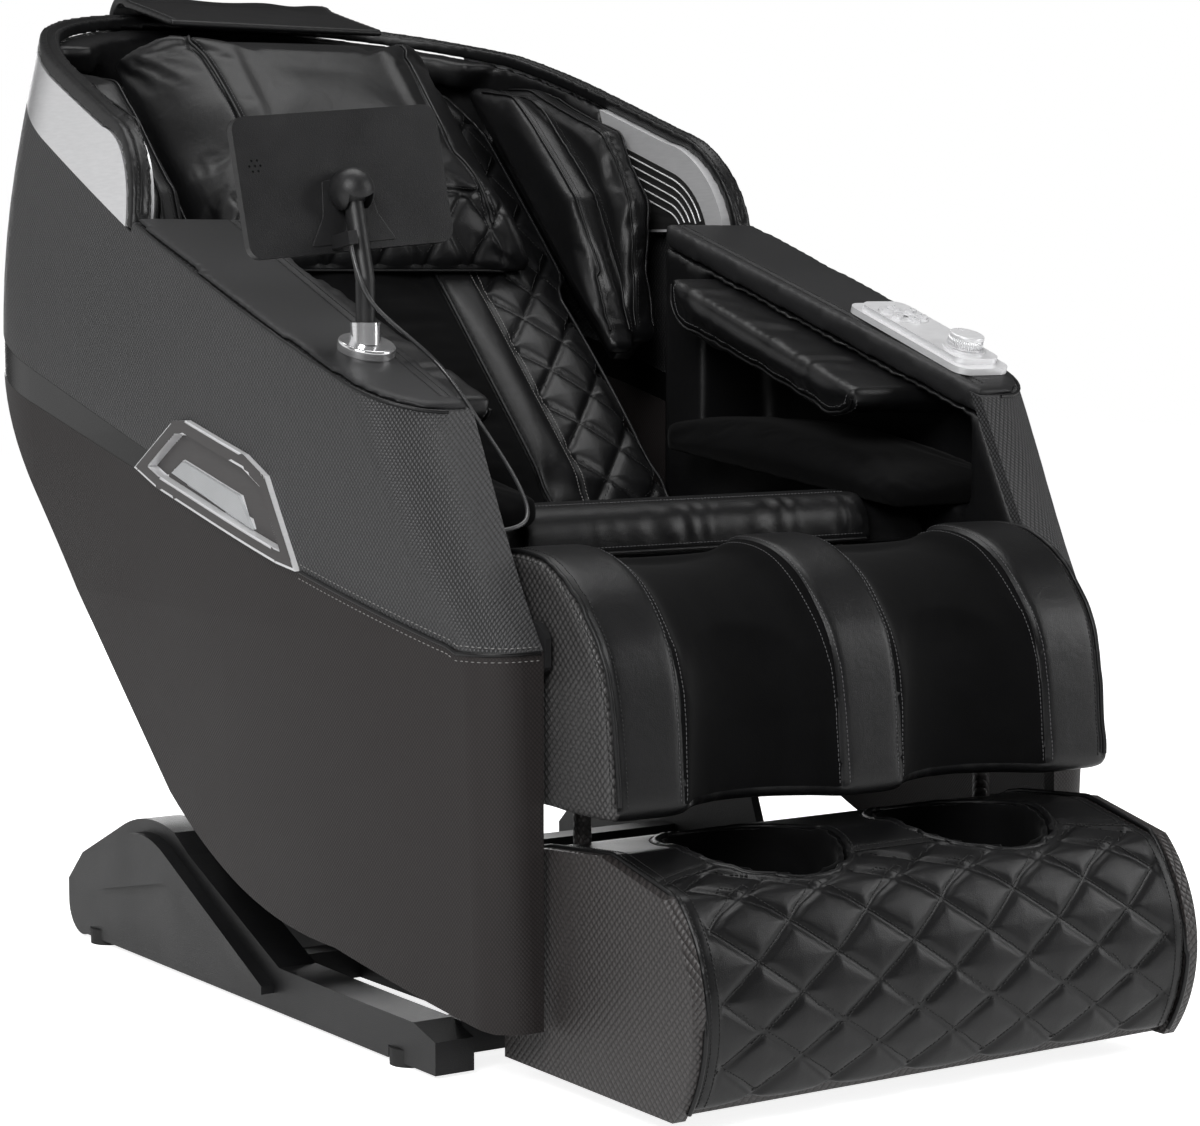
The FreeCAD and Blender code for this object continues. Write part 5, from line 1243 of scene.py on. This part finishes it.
def past_hole(x, y):
    """Distance outside the nearer hole's oval edge."""
    return 0.081 * (math.hypot((abs(x) - WELL_X) / HOLE_WIDE, (y - HOLE_Y) / HOLE_DEEP) - 1)


def foot_chart(co):
    """Place on the quilted front, measured up over its brow, and how deep it is quilted there."""
    up = co.z + max(0.0, co.y + 0.640) * 0.9
    if co.y > -0.57 or up > 0.264:
        return None
    share = window(co.x, -0.254, 0.254, 0.008) * window(up, 0.016, 0.262, 0.008)
    return co.x, up, share * (ramp(past_hole(co.x, co.y), 0.008, 0.013) if co.z > 0.19 else 1.0)


def toe_point(x, z):
    """Point on the toe's bulge, or past its brow on the cover's top."""
    if z > 0.2116:
        y = (z - 0.9265) / 1.142
        return (x, y, BROW_Z + 0.242 * (y + 0.626))
    bulge = ((z - 0.092) / 0.107) ** 2 * (1 if z > 0.092 else 0.45)
    return (x, -0.668 + 0.042 * bulge, min(z, BROW_Z))


def ovals(wide, deep, z):
    """A line round each hole, just past its full turn."""
    rings = []
    for side in (1, -1):
        ring = []
        for degrees in range(-90, 271, 15):
            angle = math.radians(degrees)
            ring.append((side * WELL_X + wide * math.cos(angle), HOLE_Y + deep * math.sin(angle), z))
        rings.append(laid(cover, ring))
    return rings


quilted(foot, FOOT_DIAMOND, 0.0044, foot_chart)
cover = skin_tree(foot)
lines = quilt_runs(
    cover,
    FOOT_DIAMOND,
    toe_point,
    lambda u, v: abs(u) < 0.249 and past_hole(u, toe_point(u, v)[1]) > 0.011,
    0.026,
    0.258,
)
rims = ovals(0.086, 0.092, 0.23)
brow = []
for side in (1, -1):
    knots = [(side * x, -0.578 - 0.02 * (x - 0.2) / 0.06, 0.214) for x in (0.258, 0.235, 0.196)]
    brow.append(laid(cover, knots))
brow.append(laid(cover, [(x, -0.580, 0.214) for x in (-0.050, 0.0, 0.050)]))
flank = [(-0.395, 0.205), (-0.45, 0.216), (-0.535, 0.223), (-0.60, 0.214), (-0.630, 0.19)]
flank += [(-0.655, 0.14), (-0.668, 0.09), (-0.660, 0.05), (-0.648, 0.028)]
flanks = [laid(cover, [(x, y, z) for y, z in flank]) for x in (0.257, -0.257)]
seamed(foot, brow, depth=0.003, width=0.004)
cover = skin_tree(foot)
stitched("foot_thread_quilt", cover, lines, (0.0,), dark_thread, "footrest", thick=0.0012)
stitched("foot_thread_rim", cover, rims + brow, (0.0, 0.005), dark_thread, "footrest")
stitched("foot_thread_flank", cover, flanks, (-0.004, 0.004), dark_thread, "footrest")
piped("foot_hole_piping", ovals(0.0785, 0.0845, 0.228), 0.0028, black_hide, "footrest")
tub = skin_tree(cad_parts["foot_body"])
tub_edge = [(-0.388, 0.196), (-0.45, 0.216), (-0.535, 0.2215), (-0.60, 0.208), (-0.630, 0.19)]
tub_edge += [(-0.656, 0.14), (-0.668, 0.09), (-0.660, 0.05), (-0.645, 0.024)]
welts = [laid(tub, [(x, y, z) for y, z in tub_edge]) for x in (0.2675, -0.2675)]
piped("foot_welt", welts, 0.0024, black_hide, "footrest", lift=0.0006)

sock = skin_of("foot_sock_left", "sock_left", 0.004, 2, "footrest", "velour", velour)


def sock_slack(co, _normal):
    """The sock hangs a little loose, with upright folds."""
    around = math.atan2(co.y - HOLE_Y, co.x - WELL_X)
    fold = 0.5 + 0.5 * math.sin(around * 7 + 3 * noise.noise(co * 12))
    return -0.0025 * fold * window(co.z, 0.085, 0.212, 0.03)


shaped(sock, sock_slack)
sock_right = twin(sock, "sock_right", "footrest", "foot_sock_right")
# Tub sides: the lighter dot tops are painted highlight, the darker hollows painted shade.
tub_dots = finish(
    "embossed_tub",
    dots,
    {"Pitch": 0.0054, "Raised": (0.040, 0.035, 0.034, 1), "Sunk": (0.008, 0.007, 0.007, 1), "Dull": 0.34},
    bump=0.0008,
    strength=0.8,
)
coat(tub_dots, "foot_body")
coat(case_plastic, "foot_roller")

# Screen: a slim black moulded case on a ball, with a plain raised mount below the ball, a few
# speaker holes and a dark glass towards the sitter
SCREEN = Matrix.Translation((-0.325, -0.203, 0.780))
SCREEN @= Matrix.Rotation(math.radians(-5), 4, "Y") @ Matrix.Rotation(math.radians(-8), 4, "X")
MOUNT = [(-0.024, 0.012), (0.024, 0.012), (0.028, -0.020)]
MOUNT += [(0.044, -0.046), (-0.044, -0.046), (-0.028, -0.020)]
GLASS = [(-0.098, -0.045), (0.098, -0.045), (0.098, 0.067), (-0.098, 0.067)]
PINHOLES = [(0, 0), (0.0055, 0), (-0.0055, 0)]
PINHOLES += [(0.0028, 0.0048), (-0.0028, 0.0048), (0.0028, -0.0048), (-0.0028, -0.0048)]
case_black = finish(
    "screen_plastic",
    moulded,
    {"Tint": (0.012, 0.012, 0.0125, 1), "Grain": 1300.0, "Dull": 0.36},
    bump=0.0002,
    Specular_IOR_Level=0.3,
)
coat(case_black, "screen", "screen_post")
coat(bright, "post_flange")


def slab(name, corners, low, high, corner, material):
    """Flat plate on the screen, cut to corners in x and z, its outer edges rounded."""
    thick = abs(high - low)
    shape = bmesh.new()
    face = shape.faces.new([shape.verts.new((x, low, z)) for x, z in corners])
    raised = bmesh.ops.extrude_face_region(shape, geom=[face])["geom"]
    lifted = [part for part in raised if isinstance(part, bmesh.types.BMVert)]
    bmesh.ops.translate(shape, vec=(0, high - low, 0), verts=lifted)
    rounding = {"offset_type": "OFFSET", "affect": "EDGES", "profile": 0.5, "material": -1}
    upright = [e for e in shape.edges if abs(e.verts[0].co.y - e.verts[1].co.y) > thick * 0.5]
    bmesh.ops.bevel(shape, geom=upright, offset=corner, segments=6, **rounding)
    flat = [e for e in shape.edges if all(abs(v.co.y - low) < 1e-6 for v in e.verts)]
    bmesh.ops.bevel(shape, geom=flat, offset=thick * 0.4, segments=3, **rounding)
    bmesh.ops.recalc_face_normals(shape, faces=shape.faces)
    bmesh.ops.transform(shape, matrix=SCREEN, verts=shape.verts)
    return mounted(name, meshed(name, shape, material), "screen")


slab("screen_mount", MOUNT, 0.0088, 0.0102, 0.003, case_black)
slab("screen_glass", GLASS, 0.0196, 0.0188, 0.006, lacquer)
shape = bmesh.new()
for across, up in PINHOLES:
    at = Matrix.Translation((-0.088 + across, 0.0099, 0.030 + up)) @ Matrix.Rotation(math.radians(90), 4, "X")
    bmesh.ops.create_cone(
        shape, cap_ends=True, segments=12, radius1=0.0013, radius2=0.0009, depth=0.0004, matrix=at
    )
bmesh.ops.transform(shape, matrix=SCREEN, verts=shape.verts)
mounted("screen_pinholes", meshed("screen_pinholes", shape, lacquer), "screen")

# Control panel: a satin silver plate in two steps, with a ring of raised keys and a knurled knob
# that has 48 narrow teeth round its edge
ARM = Matrix.Translation((0.330, -0.222, arm_top_at(-0.222))) @ Matrix.Rotation(ARM_SLOPE, 4, "X")
KNOB_TEETH, KEYS = 48, 6
KNOB_Y, RING_Y = -0.056, 0.044
coat(plate_silver, "control_panel", "panel_knob", "key_ring")


def ringed(name, shape, count, y, material, body):
    """Repeats a shape round the panel's z axis and sets the ring on the arm at this y."""
    whole = shape.faces[:] + shape.edges[:] + shape.verts[:]
    turn = {"cent": (0, 0, 0), "axis": (0, 0, 1), "angle": math.radians(360 * (count - 1) / count)}
    bmesh.ops.spin(shape, geom=whole, steps=count - 1, use_duplicate=True, **turn)
    bmesh.ops.recalc_face_normals(shape, faces=shape.faces)
    bmesh.ops.transform(shape, matrix=ARM @ Matrix.Translation((0, y, 0)), verts=shape.verts)
    mesh = meshed(name, shape, material)
    mesh.shade_smooth()
    return mounted(name, mesh, body)


shape = bmesh.new()
at = Matrix.Translation((0.0174, 0, 0.0212))
bmesh.ops.create_cone(
    shape, cap_ends=True, segments=6, radius1=0.0007, radius2=0.0007, depth=0.0085, matrix=at
)
ringed("knob_grip", shape, KNOB_TEETH, KNOB_Y, silver, "knob")

shape = bmesh.new()
at = Matrix.Translation((0, 0.0175, 0.0163))
bmesh.ops.create_uvsphere(shape, u_segments=10, v_segments=6, radius=0.0011, matrix=at)
ringed("key_pips", shape, KEYS, RING_Y, milky, "keys")

# Massage drive: hidden in the back, with zinc-plated rails and shaft, and a carriage and arm
# moulded in pale nylon
nylon = finish(
    "drive_nylon", moulded, {"Tint": (0.62, 0.61, 0.57, 1), "Grain": 600.0, "Dull": 0.5}, bump=0.0002
)
coat(zinc, "massage_rail_left", "massage_rail_right", "pinion_shaft")
coat(nylon, "massage_carriage", "kneading_arm")

# Studio: a white floor that meets a white backdrop, one broad lamp over the front left, weaker
# ones on the right and behind, and a long one above. What the part mirrors is darker ahead.
paper = bpy.data.materials.new("paper_floor")
paper.use_nodes = True
tree = paper.node_tree
shader = tree.nodes["Principled BSDF"]
shader.inputs["Base Color"].default_value = (0.86, 0.86, 0.86, 1)
shader.inputs["Roughness"].default_value = 0.9
shader.inputs["Specular IOR Level"].default_value = 0.0
shader.inputs["Emission Color"].default_value = (1, 1, 1, 1)
path = step(tree, "LightPath").outputs
seen = sums(tree, "MULTIPLY", path["Is Camera Ray"], 0.86)
tree.links.new(scaled(tree, path["Is Glossy Ray"], 0.4, seen), shader.inputs["Emission Strength"])
shape = bmesh.new()
bmesh.ops.create_grid(shape, x_segments=1, y_segments=1, size=9.0)
floor = bpy.data.objects.new("floor", meshed("floor", shape, paper))
scene.collection.objects.link(floor)

world = bpy.data.worlds.new("studio")
scene.world = world
world.use_nodes = True
tree = world.node_tree
path = step(tree, "LightPath").outputs
sky = tree.nodes["Background"]
toward = step(tree, "SeparateXYZ", {0: step(tree, "TexCoord").outputs["Generated"]}).outputs
left, rear = [
    step(tree, "Clamp", {"Value": sums(tree, "MULTIPLY", toward[way], gain)}).outputs[0]
    for way, gain in (("X", -2.6), ("Y", 3.0))
]
mirrored = scaled(tree, sums(tree, "MULTIPLY", left, rear), 0.75, -0.12)
mirrored = sums(tree, "MULTIPLY", mirrored, path["Is Glossy Ray"])
lit = scaled(tree, path["Is Camera Ray"], 0.8, 0.2)
sky.inputs["Color"].default_value = (1, 1, 1, 1)
tree.links.new(sums(tree, "ADD", lit, mirrored), sky.inputs["Strength"])

for name, spot, aim, size, power in (
    ("key", (-2.4, -2.2, 2.4), (0, 0, 0.5), (1.6, 1.6), 110.0),
    ("fill", (2.6, -2.0, 1.6), (0, 0, 0.6), (1.0, 2.0), 40.0),
    ("top", (0.2, 0.4, 3.0), (0, 0, 0.6), (2.4, 1.0), 38.0),
    ("rear", (1.3, 3.2, 0.9), (0, 0.3, 0.6), (2.0, 1.2), 26.0),
):
    lamp = bpy.data.lights.new(name, "AREA")
    lamp.shape = "RECTANGLE"
    lamp.size, lamp.size_y = size
    lamp.energy = power
    stand = bpy.data.objects.new(name, lamp)
    scene.collection.objects.link(stand)
    stand.location = spot
    stand.rotation_euler = (Vector(aim) - Vector(spot)).to_track_quat("-Z", "Y").to_euler()
